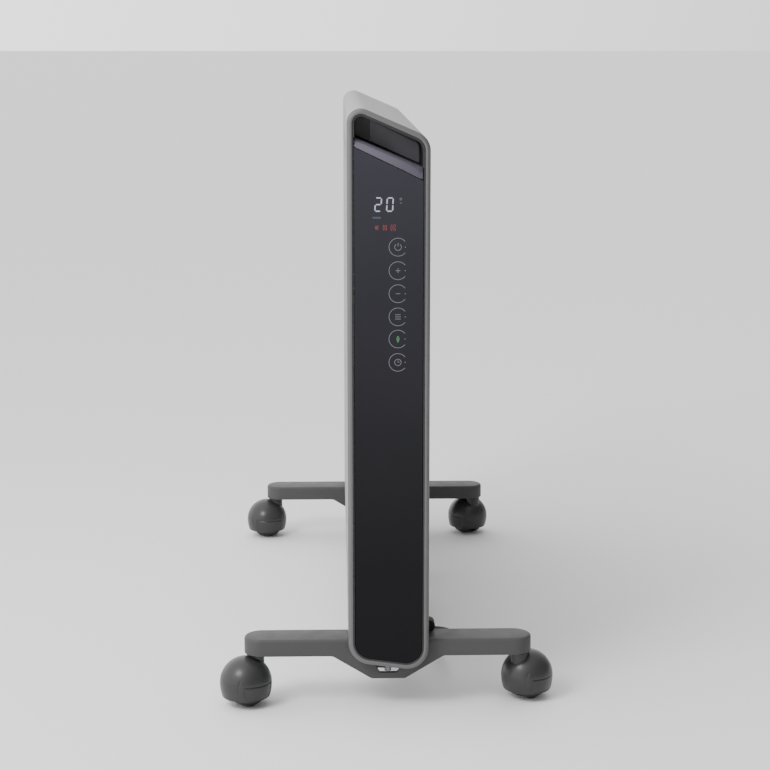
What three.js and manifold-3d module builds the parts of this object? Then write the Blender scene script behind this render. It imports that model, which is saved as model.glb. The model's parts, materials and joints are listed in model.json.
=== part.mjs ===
// A slim oil filled radiator heater on two cross feet with ball castors.
// Millimetres. X runs across the slim body, Y from the control end to the far end, Z up from the floor.
import * as THREE from "three";
import { mergeVertices } from "three/addons/utils/BufferGeometryUtils.js";
import Module from "manifold-3d";

const wasm = await Module();
wasm.setup();

// Body: one straight prism whose outline has a top that slopes across it.
const BODY_LENGTH = 690;
const BODY_THICKNESS = 76;
const BODY_HEIGHT = 525; // between the sharp corners of the left side
const UNDERSIDE_HEIGHT = 48; // of the lower left corner, above the floor
const TOP_DROP = 33; // from the left side to the right side
const UNDERSIDE_DROP = 10.6;
const CORNER_RADII = [22.5, 21, 18, 13]; // lower left, lower right, upper right, upper left
const CORNER_STEPS = 4;
const END_CHAMFER = 2.5;
const GAP = 0.3; // between pieces that touch

// Ends of the body.
const HOUSING_LENGTH = 65;
const HOUSING_WALL = 2.5;
const BEZEL_DEPTH = 14;
const BEZEL_WIDTH = 4.7;
const FACE_CLEARANCE = 0.8; // dark gap between a bezel and what it frames
const FACE_SETBACK = 0.8; // of a face behind the bezel's front
const GLASS_THICKNESS = 4;
const CARRIER_THICKNESS = 2.5;

// Grip pocket at the top of each end.
const POCKET_DEPTH = 45;
const POCKET_WALL = 1.6;
const POCKET_HEIGHT = 29.5; // floor below the sloped top
const LIP_HEIGHT = 9.8; // at the middle of the body
const LIP_TAPER = 0.04; // how much taller the lip gets for each millimetre to the right
const LIP_BEVEL = 6;
const LIP_DEPTH = 8;

// Radiator sections.
const SECTION_COUNT = 8;
const SECTION_GAP = 1.6;
const SHEET = 0.8;
const HEADER_RADIUS = 20;
const HEADER_WALL = 2.5;
const UPPER_HEADER_HEIGHT = 478;
const LOWER_HEADER_HEIGHT = 105;
const CHANNEL_WIDTH = 44;
const CHANNEL_DEPTH = 10;
const CHANNEL_WALL = 1.5;
const LOUVRE_COUNT = 2;
const LOUVRE_HEIGHT = 5;
const LOUVRE_PITCH = 11;
const LOUVRE_TOP = 45; // top louvre below the left side's upper corner
const LOUVRE_MARGIN = 9;
const INTAKE_WIDTH = 26;

// Heating element and safety parts.
const ELEMENT_RADIUS = 3.5;
const ELEMENT_SPREAD = 9;
const ELEMENT_LENGTH = 480;
const FLANGE_RADIUS = 23;
const FLANGE_THICKNESS = 5;
const TERMINAL_LENGTH = 12;
const FILLER_RADIUS = 4;
const SHIELD_THICKNESS = 1.2;
const CUTOUT_RADIUS = 8.5;
const PENDULUM_LENGTH = 20;
const BOB_RADIUS = 6;

// Feet.
const FOOT_LENGTH = 275;
const FOOT_DEPTH = 35;
const FOOT_TOP = 66.4;
const FOOT_THICKNESS = 16.1;
const FOOT_DIP_HEIGHT = 28; // flat at the bottom of the V
const FOOT_DIP_WIDTH = 32;
const FOOT_DIP_SPREAD = 106; // width of the V where it leaves the beam
const FOOT_INSET = 30; // of the front foot's centre from the body's front
const REAR_FOOT_INSET = 42;
const FOOT_WALL = 4.5;
const FOOT_CLAMP = 2.5; // web between the body and the nut
const WINDOW_SILL = 5.7;
const WINDOW_WIDTH = 16;
const WINDOW_FLARE = 0.7;
const WELL_WIDTH = 27;
const BOLT_RADIUS = 3.3;
const BOLT_END = 29.7;

// Castors.
const STEM_SPACING = 254;
const STEM_RADIUS = 4;
const CASTOR_TRAIL = 11.5;
const HOOD_RADIUS = 25;
const HOOD_CENTRE = 22.5;
const HOOD_RIM_HEIGHT = 9;
const HOOD_RIM_RADIUS = 22.8;
const HOOD_WALL = 1.8;
const NECK_RADIUS = 8.5;
const HOOD_WEB = 2;
const WHEEL_RADIUS = 19.5;
const WHEEL_DOME_RADIUS = 15.5;
const WHEEL_TREAD_EDGE = 9.5; // from the middle of the castor
const WHEEL_OUTSIDE = 15;
const WHEEL_CLEARANCE = 0.7;
const WHEEL_STEPS = 20;
const AXLE_RADIUS = 2.5;
const CASTORS = [
  { name: "front_left", side: -1, foot: "front", heading: 217.6 },
  { name: "front_right", side: 1, foot: "front", heading: 45 },
  { name: "rear_left", side: -1, foot: "rear", heading: 190 },
  { name: "rear_right", side: 1, foot: "rear", heading: 121.5 },
];

// Mains lead. Its route is a list of points on its centreline, from the gland to the coil and on to the plug.
const CORD_RADIUS = 3.5;
const GLAND_HEIGHT = 73.2;
// The lead's places across and along are measured from the front end of the body's right side.
const COIL_CENTRE = [-32, 305];
const COIL_RADIUS = 37; // of the middle of the turns
const COIL_COLUMNS = 2;
const COIL_LAYERS = 3;
const CORD_ROUTE = [
  [4, 64.1, 64.8],
  [4.5, 73, 59.5],
  [7, 82, 54.6],
  [12, 90.5, 50.8],
  [18.5, 100, 47],
  [23.5, 111, 42.4],
  [25.8, 125, 35.8],
  [25, 141, 27.8],
  [21.3, 157, 20],
  [16.4, 173, 13],
  [12, 189, 7.6],
  [9.4, 205, 4.5],
  [8.4, 221, 3.6],
  [8.2, 237, 3.5],
  [8.4, 253, 3.5],
  [8.5, 265, 3.5],
  [8.5, 279.5, 3.5],
];
const TAIL_ROUTE = [
  [8.5, 330.5, 7.9],
  [8.5, 341, 5.8],
  [8, 352, 4.9],
  [6, 363, 5.6],
  [2.9, 374, 8.2],
  [0, 385, 11],
  [-0.8, 396, 12.9],
  [-1, 407, 13.5],
];
const PLUG_START = [-1, 407.3];
const PLUG_HEIGHT = 27;
const PLUG_WIDTH = 36;
const PLUG_LENGTH = 34;
const RELIEF_LENGTH = 22;
const PIN_LENGTH = 17;
const PIN_SIZE = [6.3, 1.6];
const PIN_RISE = 3.2; // of the pins' centre above the middle of the plug

// Places worked out from the driving dimensions.
const FRONT = -BODY_LENGTH / 2;
const BACK = BODY_LENGTH / 2;
const HALF = BODY_THICKNESS / 2;
const TOP_HEIGHT = UNDERSIDE_HEIGHT + BODY_HEIGHT;
const SECTIONS_START = FRONT + HOUSING_LENGTH;
const SECTIONS_LENGTH = BODY_LENGTH - 2 * HOUSING_LENGTH;
const SECTION_PITCH = SECTIONS_LENGTH / SECTION_COUNT;
const FACE_INSET = BEZEL_WIDTH + FACE_CLEARANCE;
const POCKET_INSET = FACE_INSET + POCKET_WALL;
const FOOT_Y = { front: FRONT + FOOT_INSET, rear: BACK - REAR_FOOT_INSET };
const BEAM_BOTTOM = FOOT_TOP - FOOT_THICKNESS;
const NECK_TOP = BEAM_BOTTOM - GAP;

const heater = new THREE.Group();

// ---- Building blocks -------------------------------------------------------------------------------------------

function solid(geometry) {
  geometry.deleteAttribute("normal");
  geometry.deleteAttribute("uv");
  const merged = mergeVertices(geometry, 1e-4);
  const vertProperties = merged.attributes.position.array;
  const triVerts = new Uint32Array(merged.index.array);
  return new wasm.Manifold(new wasm.Mesh({ numProp: 3, vertProperties, triVerts }));
}

function addPart(name, body, colour, roughness, metalness = 0, parent = heater) {
  const made = body.getMesh();
  const geometry = new THREE.BufferGeometry();
  geometry.setAttribute("position", new THREE.BufferAttribute(made.vertProperties, 3));
  geometry.setIndex(new THREE.BufferAttribute(made.triVerts, 1));
  geometry.computeVertexNormals();
  const material = new THREE.MeshStandardMaterial({ color: colour, roughness, metalness });
  const mesh = new THREE.Mesh(geometry, material);
  mesh.name = name;
  parent.add(mesh);
  return mesh;
}

function point(x, z) {
  return new THREE.Vector2(x, z);
}

// An outline in the XZ plane, carried along Y between two places.
function prism(outline, yA, yB) {
  const depth = Math.abs(yB - yA);
  const geometry = new THREE.ExtrudeGeometry(new THREE.Shape(outline), { depth, bevelEnabled: false });
  return solid(geometry.rotateX(Math.PI / 2).translate(0, Math.max(yA, yB), 0));
}

// An outline in the XY plane, carried up between two heights.
function slab(outline, zA, zB) {
  const geometry = new THREE.ExtrudeGeometry(new THREE.Shape(outline), { depth: zB - zA, bevelEnabled: false });
  return solid(geometry.translate(0, 0, zA));
}

function block(x, y, z) {
  const geometry = new THREE.BoxGeometry(x[1] - x[0], Math.abs(y[1] - y[0]), z[1] - z[0]);
  return solid(geometry.translate((x[0] + x[1]) / 2, (y[0] + y[1]) / 2, (z[0] + z[1]) / 2));
}

function rod(start, end, radius, sides = 16, endRadius = radius) {
  const from = new THREE.Vector3(...start);
  const along = new THREE.Vector3(...end).sub(from);
  const geometry = new THREE.CylinderGeometry(endRadius, radius, along.length(), sides);
  geometry.translate(0, along.length() / 2, 0);
  const turn = new THREE.Quaternion().setFromUnitVectors(new THREE.Vector3(0, 1, 0), along.clone().normalize());
  return solid(geometry.applyQuaternion(turn).translate(from.x, from.y, from.z));
}

// A profile of [radius, height] pairs turned about the Z axis.
function turned(profile, sides) {
  const geometry = new THREE.LatheGeometry(profile.map(([r, z]) => point(r, z)), sides);
  return solid(geometry.rotateX(Math.PI / 2));
}

function union(pieces) {
  return pieces.reduce((whole, piece) => whole.add(piece));
}

// ---- The body's outline ----------------------------------------------------------------------------------------

function topLine(x) {
  return TOP_HEIGHT - (TOP_DROP * (x + HALF)) / BODY_THICKNESS;
}

function underside(x) {
  return UNDERSIDE_HEIGHT - (UNDERSIDE_DROP * (x + HALF)) / BODY_THICKNESS;
}

const BODY_CORNERS = [
  point(-HALF, underside(-HALF)),
  point(HALF, underside(HALF)),
  point(HALF, topLine(HALF)),
  point(-HALF, topLine(-HALF)),
];

// The four corners after each side has moved inwards by inset.
function insetCorners(inset) {
  const sides = BODY_CORNERS.map((corner, i) => {
    const along = BODY_CORNERS[(i + 1) % 4].clone().sub(corner).normalize();
    const inward = point(-along.y, along.x);
    return { start: corner.clone().addScaledVector(inward, inset), along };
  });
  return sides.map((side, i) => {
    const before = sides[(i + 3) % 4];
    const reach = side.start.clone().sub(before.start).cross(side.along) / before.along.cross(side.along);
    return before.start.clone().addScaledVector(before.along, reach);
  });
}

function rounded(corners, radii, steps = CORNER_STEPS) {
  return corners.flatMap((corner, i) => {
    const back = corners.at(i - 1).clone().sub(corner).normalize();
    const ahead = corners[(i + 1) % corners.length].clone().sub(corner).normalize();
    const half = Math.acos(back.dot(ahead)) / 2;
    const start = corner.clone().addScaledVector(back, radii[i] / Math.tan(half));
    const centre = corner.clone().addScaledVector(back.add(ahead).normalize(), radii[i] / Math.sin(half));
    const arc = Array.from({ length: steps + 1 }, (_, k) => k / steps);
    return arc.map((part) => start.clone().rotateAround(centre, part * (Math.PI - 2 * half)));
  });
}

function bodyOutline(inset) {
  return rounded(insetCorners(inset), CORNER_RADII.map((radius) => Math.max(radius - inset, 1)));
}

function bodyShell(inset, wall, yA, yB) {
  const inside = prism(bodyOutline(inset + wall), Math.min(yA, yB) - 1, Math.max(yA, yB) + 1);
  return prism(bodyOutline(inset), yA, yB).subtract(inside);
}

// Everything on one side of a line across the body, as a cutter.
function region(line, far, yA, yB) {
  const reach = 2 * BODY_THICKNESS;
  const corners = [point(-reach, line(-reach)), point(reach, line(reach)), point(reach, far), point(-reach, far)];
  const outline = THREE.ShapeUtils.area(corners) < 0 ? corners.reverse() : corners;
  return prism(outline, yA, yB);
}

function lipTop(x) {
  return topLine(x) - POCKET_HEIGHT;
}

function lipBottom(x) {
  return lipTop(x) - LIP_HEIGHT - LIP_TAPER * x;
}

// ---- Ends of the body ------------------------------------------------------------------------------------------

// A ring from the end face to a depth inside it, with its outer end edge chamfered.
function chamferedRing(end, depth, width) {
  const inward = -Math.sign(end);
  const shape = new THREE.Shape(bodyOutline(END_CHAMFER));
  const bevel = { bevelThickness: END_CHAMFER, bevelSize: END_CHAMFER, bevelSegments: 1 };
  const geometry = new THREE.ExtrudeGeometry(shape, { depth: depth + END_CHAMFER, ...bevel });
  geometry.rotateX(Math.PI / 2).translate(0, (depth + END_CHAMFER) / 2, 0);
  const middle = end + (inward * (depth + 3 * END_CHAMFER)) / 2;
  const outside = solid(geometry.translate(0, middle, 0));
  const keep = block([-BODY_THICKNESS, BODY_THICKNESS], [end, end + inward * depth], [0, 2 * TOP_HEIGHT]);
  const hole = prism(bodyOutline(width), end - inward, end + inward * (depth + 1));
  return outside.intersect(keep).subtract(hole);
}

// The open-fronted pocket that fingers reach into, with a collar round its mouth.
function gripPocket(end) {
  const inward = -Math.sign(end);
  const face = end + inward * FACE_SETBACK;
  const back = end + inward * POCKET_DEPTH;
  const behindLip = face + inward * (LIP_DEPTH + GAP);
  const floor = (x) => lipTop(x) - POCKET_WALL;
  const above = region(floor, 2 * TOP_HEIGHT, face, back);
  const outside = prism(bodyOutline(FACE_INSET), face, back).intersect(above);
  const mouth = face - inward;
  const inside = prism(bodyOutline(POCKET_INSET), mouth, back - inward * POCKET_WALL);
  const hollow = inside.intersect(region(lipTop, 2 * TOP_HEIGHT, mouth, back));
  const lipRoom = region((x) => lipTop(x) + GAP, 0, mouth, behindLip);
  return outside.subtract(hollow).subtract(lipRoom);
}

// The bevelled bar below the mouth, from its lower edge at the face to its upper edge further in.
function lipBar(end) {
  const inward = -Math.sign(end);
  const half = HALF - POCKET_INSET;
  const face = end + inward * FACE_SETBACK;
  const bar = region(lipBottom, 2 * TOP_HEIGHT, face, face + inward * LIP_DEPTH)
    .intersect(region(lipTop, 0, face, face + inward * LIP_DEPTH))
    .intersect(block([-half, half], [face, face + inward * LIP_DEPTH], [0, 2 * TOP_HEIGHT]));
  const corners = [-2 * HALF, 2 * HALF].flatMap((x) => [
    new THREE.Vector3(x, face, lipBottom(x)),
    new THREE.Vector3(x, face + inward * LIP_BEVEL, lipTop(x)),
    new THREE.Vector3(x, face - inward * LIP_BEVEL, lipTop(x)),
  ]);
  return bar.subtract(wedge(corners));
}

// A three-sided bar from six corners: three at its left end, then the matching three at its right end.
function wedge(corners) {
  const faces = [0, 1, 2, 5, 4, 3, 0, 3, 1, 1, 3, 4, 1, 4, 2, 2, 4, 5, 2, 5, 0, 0, 5, 3];
  const geometry = new THREE.BufferGeometry().setFromPoints(corners);
  const side = corners[3].clone().sub(corners[0]);
  const turn = corners[1].clone().sub(corners[0]).cross(corners[2].clone().sub(corners[0]));
  geometry.setIndex(turn.dot(side) > 0 ? faces.reverse() : faces);
  return solid(geometry);
}

function addEnds() {
  const silver = 0x9a9a9c;
  addPart("front_bezel", chamferedRing(FRONT, BEZEL_DEPTH, BEZEL_WIDTH), silver, 0.5);
  addPart("handle_lip", lipBar(FRONT), 0x55535c, 0.35);

  const face = FRONT + FACE_SETBACK;
  const glassBack = face + GLASS_THICKNESS;
  const underLip = (x) => lipBottom(x) - GAP;
  const glass = prism(bodyOutline(FACE_INSET), face, glassBack);
  addPart("glass_fascia", glass.intersect(region(underLip, 0, face, glassBack)), 0x0b0b10, 0.08);

  const carrierFront = glassBack + GAP;
  const carrierBack = carrierFront + CARRIER_THICKNESS;
  const board = displayBoard(carrierFront);
  const window = block([board.x[0] - GAP, board.x[1] + GAP], [FRONT, 0], [board.z[0] - GAP, board.z[1] + GAP]);
  const lipRoom = region((x) => lipTop(x) + GAP, 0, FRONT, face + LIP_DEPTH + GAP);
  const behindGlass = region((x) => lipBottom(x) - GAP, 0, FRONT, BACK);
  const carrier = prism(bodyOutline(FACE_INSET), carrierFront, carrierBack).intersect(behindGlass).subtract(window);
  const bridgeFront = face + LIP_DEPTH + GAP;
  const bridge = prism(bodyOutline(FACE_INSET), carrierFront, bridgeFront + POCKET_WALL)
    .intersect(region((x) => lipTop(x) - POCKET_WALL / 2, 0, carrierFront, bridgeFront + POCKET_WALL))
    .intersect(region((x) => lipBottom(x) - 3 * POCKET_WALL, 2 * TOP_HEIGHT, FRONT, BACK))
    .subtract(lipRoom.intersect(region((x) => lipBottom(x) - GAP, 2 * TOP_HEIGHT, FRONT, BACK)));
  addPart("fascia_frame", union([gripPocket(FRONT), carrier, bridge]), 0x161618, 0.4);
  addPart("display_board", block(board.x, board.y, board.z), 0x1d4a2a, 0.6);

  const shellStart = FRONT + BEZEL_DEPTH + GAP;
  const shell = bodyShell(0, HOUSING_WALL, shellStart, SECTIONS_START);
  const frontHousing = shell.subtract(boltHole("front")).subtract(glandSlot());
  addPart("front_housing", frontHousing, silver, 0.5);

  const rearShell = chamferedRing(BACK, HOUSING_LENGTH, BEZEL_WIDTH).subtract(boltHole("rear"));
  const rearHollow = prism(bodyOutline(HOUSING_WALL), 0, BACK - BEZEL_DEPTH);
  addPart("rear_housing", rearShell.subtract(rearHollow), silver, 0.5);

  const rearFace = BACK - FACE_SETBACK;
  const panel = prism(bodyOutline(FACE_INSET), rearFace, rearFace - CARRIER_THICKNESS)
    .intersect(region(lipBottom, 0, 0, BACK));
  addPart("rear_panel", union([panel, lipBar(BACK)]), 0x3a3a3d, 0.6);
  addPart("rear_grip", gripPocket(BACK), 0x3a3a3d, 0.6);
}

// The circuit board right behind the glass, which carries the display and the touch electrodes.
function displayBoard(front) {
  const top = TOP_HEIGHT - 78;
  return { x: [-20, 26], y: [front, front + 1.6], z: [top - 172, top] };
}

function boltHole(foot) {
  return rod([0, FOOT_Y[foot], 0], [0, FOOT_Y[foot], underside(0) + 4 * HOUSING_WALL], BOLT_RADIUS + GAP);
}

// ---- Radiator --------------------------------------------------------------------------------------------------

function radiatorSection(index) {
  const front = SECTIONS_START + index * SECTION_PITCH + SECTION_GAP / 2;
  const back = front + SECTION_PITCH - SECTION_GAP;
  const middle = (front + back) / 2;
  const first = index === 0;
  const last = index === SECTION_COUNT - 1;
  const web = prism(bodyOutline(SHEET / 2), middle - SHEET, middle + SHEET);
  const channel = block(
    [-CHANNEL_WIDTH / 2, CHANNEL_WIDTH / 2],
    [middle - CHANNEL_DEPTH / 2, middle + CHANNEL_DEPTH / 2],
    [LOWER_HEADER_HEIGHT, UPPER_HEADER_HEIGHT],
  );
  const hollow = block(
    [CHANNEL_WALL - CHANNEL_WIDTH / 2, CHANNEL_WIDTH / 2 - CHANNEL_WALL],
    [middle - CHANNEL_DEPTH / 2 + CHANNEL_WALL, middle + CHANNEL_DEPTH / 2 - CHANNEL_WALL],
    [LOWER_HEADER_HEIGHT, UPPER_HEADER_HEIGHT],
  );
  const reach = (SECTION_GAP - GAP) / 2;
  const headers = [LOWER_HEADER_HEIGHT, UPPER_HEADER_HEIGHT].map((height) => ({
    outside: rod([0, front - reach, height], [0, back + reach, height], HEADER_RADIUS, 12),
    bore: rod(
      [0, first && height === UPPER_HEADER_HEIGHT ? front - reach + HEADER_WALL : front - 2, height],
      [0, last ? back + reach - HEADER_WALL : back + 2, height],
      HEADER_RADIUS - HEADER_WALL,
      12,
    ),
  }));
  const skin = airSlots(bodyShell(0, SHEET, front, back), front, back, middle);
  const metal = union([skin, web, channel, ...headers.map((header) => header.outside)]);
  const oil = union([hollow, ...headers.map((header) => header.bore)]);
  if (!first) return metal.subtract(oil);
  const fillerHole = [[0, front - 5, UPPER_HEADER_HEIGHT], [0, front + 5, UPPER_HEADER_HEIGHT]];
  return metal.subtract(oil).subtract(rod(...fillerHole, FILLER_RADIUS + GAP, 12));
}

// Warm air leaves through louvres high on both sides, and cool air enters through slots in the underside.
function airSlots(skin, front, back, middle) {
  const across = [-BODY_THICKNESS, BODY_THICKNESS];
  const louvres = Array.from({ length: LOUVRE_COUNT }, (_, i) => {
    const top = TOP_HEIGHT - LOUVRE_TOP - i * LOUVRE_PITCH;
    return block(across, [front + LOUVRE_MARGIN, back - LOUVRE_MARGIN], [top - LOUVRE_HEIGHT, top]);
  });
  const intakes = [[front + LOUVRE_MARGIN, middle - 3 * SHEET], [middle + 3 * SHEET, back - LOUVRE_MARGIN]];
  const slots = intakes.map((y) => block([-INTAKE_WIDTH / 2, INTAKE_WIDTH / 2], y, [0, UNDERSIDE_HEIGHT + 10]));
  return [...louvres, ...slots].reduce((shell, slot) => shell.subtract(slot), skin);
}

function addRadiator() {
  for (let i = 0; i < SECTION_COUNT; i += 1) {
    addPart(`radiator_section_${i + 1}`, radiatorSection(i), 0xb4b4b6, 0.45, 0.1);
  }

  const flangeBack = SECTIONS_START;
  const flangeFront = flangeBack - FLANGE_THICKNESS;
  const z = LOWER_HEADER_HEIGHT;
  const tubeEnds = [-ELEMENT_SPREAD, ELEMENT_SPREAD].map((x) => ({
    start: [x, flangeFront - TERMINAL_LENGTH, z],
    end: [x, flangeBack + ELEMENT_LENGTH, z],
  }));
  const holes = tubeEnds.map(({ start, end }) => rod(start, end, ELEMENT_RADIUS + GAP, 12));
  const disc = rod([0, flangeFront, z], [0, flangeBack, z], FLANGE_RADIUS, 20);
  addPart("element_flange", disc.subtract(union(holes)), 0x8a7a4a, 0.4, 0.9);

  const bend = new THREE.EllipseCurve(0, 0, ELEMENT_SPREAD, ELEMENT_SPREAD, 0, Math.PI);
  const bendPoints = bend.getPoints(12).map((p) => new THREE.Vector3(p.x, flangeBack + ELEMENT_LENGTH + p.y, z));
  const tubes = tubeEnds.map(({ start, end }) => rod(start, [end[0], end[1] + 1, z], ELEMENT_RADIUS, 10));
  addPart("heating_element", union([...tubes, tube(bendPoints, ELEMENT_RADIUS, 10, 10)]), 0x777777, 0.4, 0.9);

  const plugHead = rod(
    [0, flangeFront, UPPER_HEADER_HEIGHT],
    [0, SECTIONS_START, UPPER_HEADER_HEIGHT],
    2 * FILLER_RADIUS,
    6,
  );
  const plugShank = rod(
    [0, flangeFront, UPPER_HEADER_HEIGHT],
    [0, SECTIONS_START + 2 * HEADER_WALL, UPPER_HEADER_HEIGHT],
    FILLER_RADIUS,
    12,
  );
  addPart("oil_filler_plug", plugHead.add(plugShank), 0xc2a24e, 0.35, 0.9);
}

// A round tube along a smooth curve through points.
function tube(points, radius, sides, steps) {
  const section = new THREE.Shape(new THREE.EllipseCurve(0, 0, radius, radius).getPoints(sides).slice(0, -1));
  const extrudePath = new THREE.CatmullRomCurve3(points);
  return solid(new THREE.ExtrudeGeometry(section, { steps, extrudePath }));
}

// ---- Parts inside the control housing --------------------------------------------------------------------------

function addControls() {
  const shieldBack = SECTIONS_START - FLANGE_THICKNESS + 2;
  const shieldFront = shieldBack - SHIELD_THICKNESS;
  const sheet = prism(bodyOutline(HOUSING_WALL + GAP), shieldFront, shieldBack);
  const flangeHole = [[0, FRONT, LOWER_HEADER_HEIGHT], [0, 0, LOWER_HEADER_HEIGHT]];
  const plugHole = [[0, FRONT, UPPER_HEADER_HEIGHT], [0, 0, UPPER_HEADER_HEIGHT]];
  const shield = sheet
    .subtract(rod(...flangeHole, FLANGE_RADIUS + 2))
    .subtract(rod(...plugHole, 2 * FILLER_RADIUS + 2))
    .subtract(glandSlot());
  addPart("heat_shield", shield, 0xa8a8a8, 0.35, 0.9);

  const cutoutHeight = TOP_HEIGHT / 2;
  const cutoutBack = shieldFront - GAP;
  const cutout = rod([0, cutoutBack - 7, cutoutHeight], [0, cutoutBack, cutoutHeight], CUTOUT_RADIUS);
  addPart("thermal_cutout", cutout, 0xd8d2c0, 0.6);

  const boardBack = FRONT + 21;
  const board = block([-28, 28], [boardBack - 1.6, boardBack], [150, 290]);
  const relays = [170, 205].map((z) => block([-18, 0], [boardBack - 1, boardBack + 15], [z, z + 20]));
  const terminals = block([4, 24], [boardBack - 1, boardBack + 11], [158, 182]);
  addPart("control_board", union([board, ...relays, terminals]), 0x1f5a34, 0.6);

  const floor = underside(-HALF / 2) + HOUSING_WALL + 2;
  const sensor = rod([-HALF / 2, FRONT + 24, floor], [-HALF / 2, FRONT + 24, floor + 18], 2.5, 10);
  addPart("temperature_sensor", sensor, 0xb07a4a, 0.4, 0.8);
  addTipSwitch();
}

// A weighted pendulum that hangs from a pin in an open-fronted case.
function addTipSwitch() {
  const pivot = [0, FRONT + 27, LOWER_HEADER_HEIGHT + 11];
  const [x, y, z] = pivot;
  const halfWidth = PENDULUM_LENGTH;
  const halfDepth = 9;
  const outside = block(
    [x - halfWidth, x + halfWidth],
    [y - halfDepth, y + halfDepth],
    [z - PENDULUM_LENGTH - 2 * BOB_RADIUS, z + 6],
  );
  const inside = block(
    [x - halfWidth + 1.5, x + halfWidth - 1.5],
    [y - 2 * halfDepth, y + halfDepth - 1.5],
    [z - PENDULUM_LENGTH - 2 * BOB_RADIUS + 1.5, z + 4.5],
  );
  const pin = rod([x, y - halfDepth + 2, z], [x, y + halfDepth - 1, z], 1.2, 10);
  addPart("tip_switch_case", outside.subtract(inside).add(pin), 0xe4e0d4, 0.6);

  const hub = rod([x, y - 3, z], [x, y + 3, z], 3, 12);
  const arm = block([x - 1, x + 1], [y - 1.5, y + 1.5], [z - PENDULUM_LENGTH, z - 2]);
  const bob = rod([x, y - 5, z - PENDULUM_LENGTH], [x, y + 5, z - PENDULUM_LENGTH], BOB_RADIUS, 16);
  const bore = rod([x, y - 6, z], [x, y + 6, z], 1.5, 12);
  addPart("tip_switch_pendulum", union([hub, arm, bob]).subtract(bore), 0x8c8c90, 0.4, 0.8);
}

// ---- Feet ------------------------------------------------------------------------------------------------------

// A beam with round ends and a V-shaped middle, cut to nest the body, with a well for the nut behind a window.
function foot(end) {
  const y = FOOT_Y[end];
  const half = FOOT_DEPTH / 2;
  const straight = FOOT_LENGTH / 2 - half;
  const ends = new THREE.Shape();
  ends.absarc(straight, y, half, -Math.PI / 2, Math.PI / 2);
  ends.absarc(-straight, y, half, Math.PI / 2, (3 * Math.PI) / 2);
  const beam = slab(ends.getPoints(8).slice(0, -1), BEAM_BOTTOM, FOOT_TOP);
  const dip = prism(
    [
      point(-FOOT_DIP_SPREAD / 2, BEAM_BOTTOM),
      point(-FOOT_DIP_WIDTH / 2, FOOT_DIP_HEIGHT),
      point(FOOT_DIP_WIDTH / 2, FOOT_DIP_HEIGHT),
      point(FOOT_DIP_SPREAD / 2, BEAM_BOTTOM),
      point(FOOT_DIP_SPREAD / 2, FOOT_TOP),
      point(-FOOT_DIP_SPREAD / 2, FOOT_TOP),
    ],
    y - half,
    y + half,
  );
  const seat = prism(bodyOutline(-GAP), y - FOOT_DEPTH, y + FOOT_DEPTH);
  const wellDepth = half - FOOT_WALL;
  const clampLine = (x) => underside(x) - GAP - FOOT_CLAMP;
  const well = region(clampLine, -TOP_HEIGHT, y - wellDepth, y + wellDepth).intersect(
    block([-WELL_WIDTH / 2, WELL_WIDTH / 2], [y - wellDepth, y + wellDepth], [0, FOOT_TOP]),
  );
  const sill = FOOT_DIP_HEIGHT + WINDOW_SILL;
  const rise = underside(-HALF) - sill;
  const window = prism(
    [
      point(-WINDOW_WIDTH / 2, sill),
      point(WINDOW_WIDTH / 2, sill),
      point(WINDOW_WIDTH / 2 + rise * WINDOW_FLARE, sill + rise),
      point(-WINDOW_WIDTH / 2 - rise * WINDOW_FLARE, sill + rise),
    ],
    y - half - 1,
    y + half + 1,
  ).intersect(region(clampLine, 0, y - FOOT_DEPTH, y + FOOT_DEPTH));
  const sockets = [-1, 1].map((side) => {
    const x = (side * STEM_SPACING) / 2;
    return rod([x, y, 0], [x, y, stemTop() + GAP], STEM_RADIUS + GAP, 12);
  });
  return [seat, well, window, boltHole(end), ...sockets].reduce((body, cut) => body.subtract(cut), beam.add(dip));
}

function addFeet() {
  for (const end of ["front", "rear"]) {
    const y = FOOT_Y[end];
    addPart(`${end}_foot`, foot(end), 0x5c5c5e, 0.6);

    const headBottom = underside(-7) + HOUSING_WALL + 1;
    const head = rod([0, y, headBottom], [0, y, headBottom + 3], 7, 16);
    const shank = rod([0, y, BOLT_END], [0, y, headBottom + 1], BOLT_RADIUS, 12);
    addPart(`${end}_foot_bolt`, head.add(shank), 0xc8c8cc, 0.25, 1);

    const nutTop = underside(6) - GAP - FOOT_CLAMP - GAP;
    const hub = rod([0, y, nutTop - 4.5], [0, y, nutTop], 5.5, 12);
    const wings = block([-11, 11], [y - 1, y + 1], [nutTop - 4.5, nutTop - 0.5]);
    const bore = rod([0, y, 0], [0, y, FOOT_TOP], BOLT_RADIUS + GAP, 12);
    addPart(`${end}_foot_nut`, hub.add(wings).subtract(bore), 0xb8b8bc, 0.3, 1);
  }
}

// ---- Castors ---------------------------------------------------------------------------------------------------

function stemTop() {
  return BEAM_BOTTOM + 0.75 * FOOT_THICKNESS;
}

// The dome's profile: a quarter circle down to its middle, then a side that draws in towards the rim.
function domeProfile(radius, rimRadius, rimHeight) {
  const upper = Array.from({ length: 5 }, (_, i) => (i / 4) * (Math.PI / 2));
  const lower = [0.6, 1];
  return [
    [0, rimHeight],
    ...lower.toReversed().map((part) => {
      return [radius - (radius - rimRadius) * part ** 2, HOOD_CENTRE - (HOOD_CENTRE - rimHeight) * part];
    }),
    ...upper.slice(0, -1).map((angle) => [radius * Math.cos(angle), HOOD_CENTRE + radius * Math.sin(angle)]),
    [0, HOOD_CENTRE + radius],
  ];
}

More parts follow.
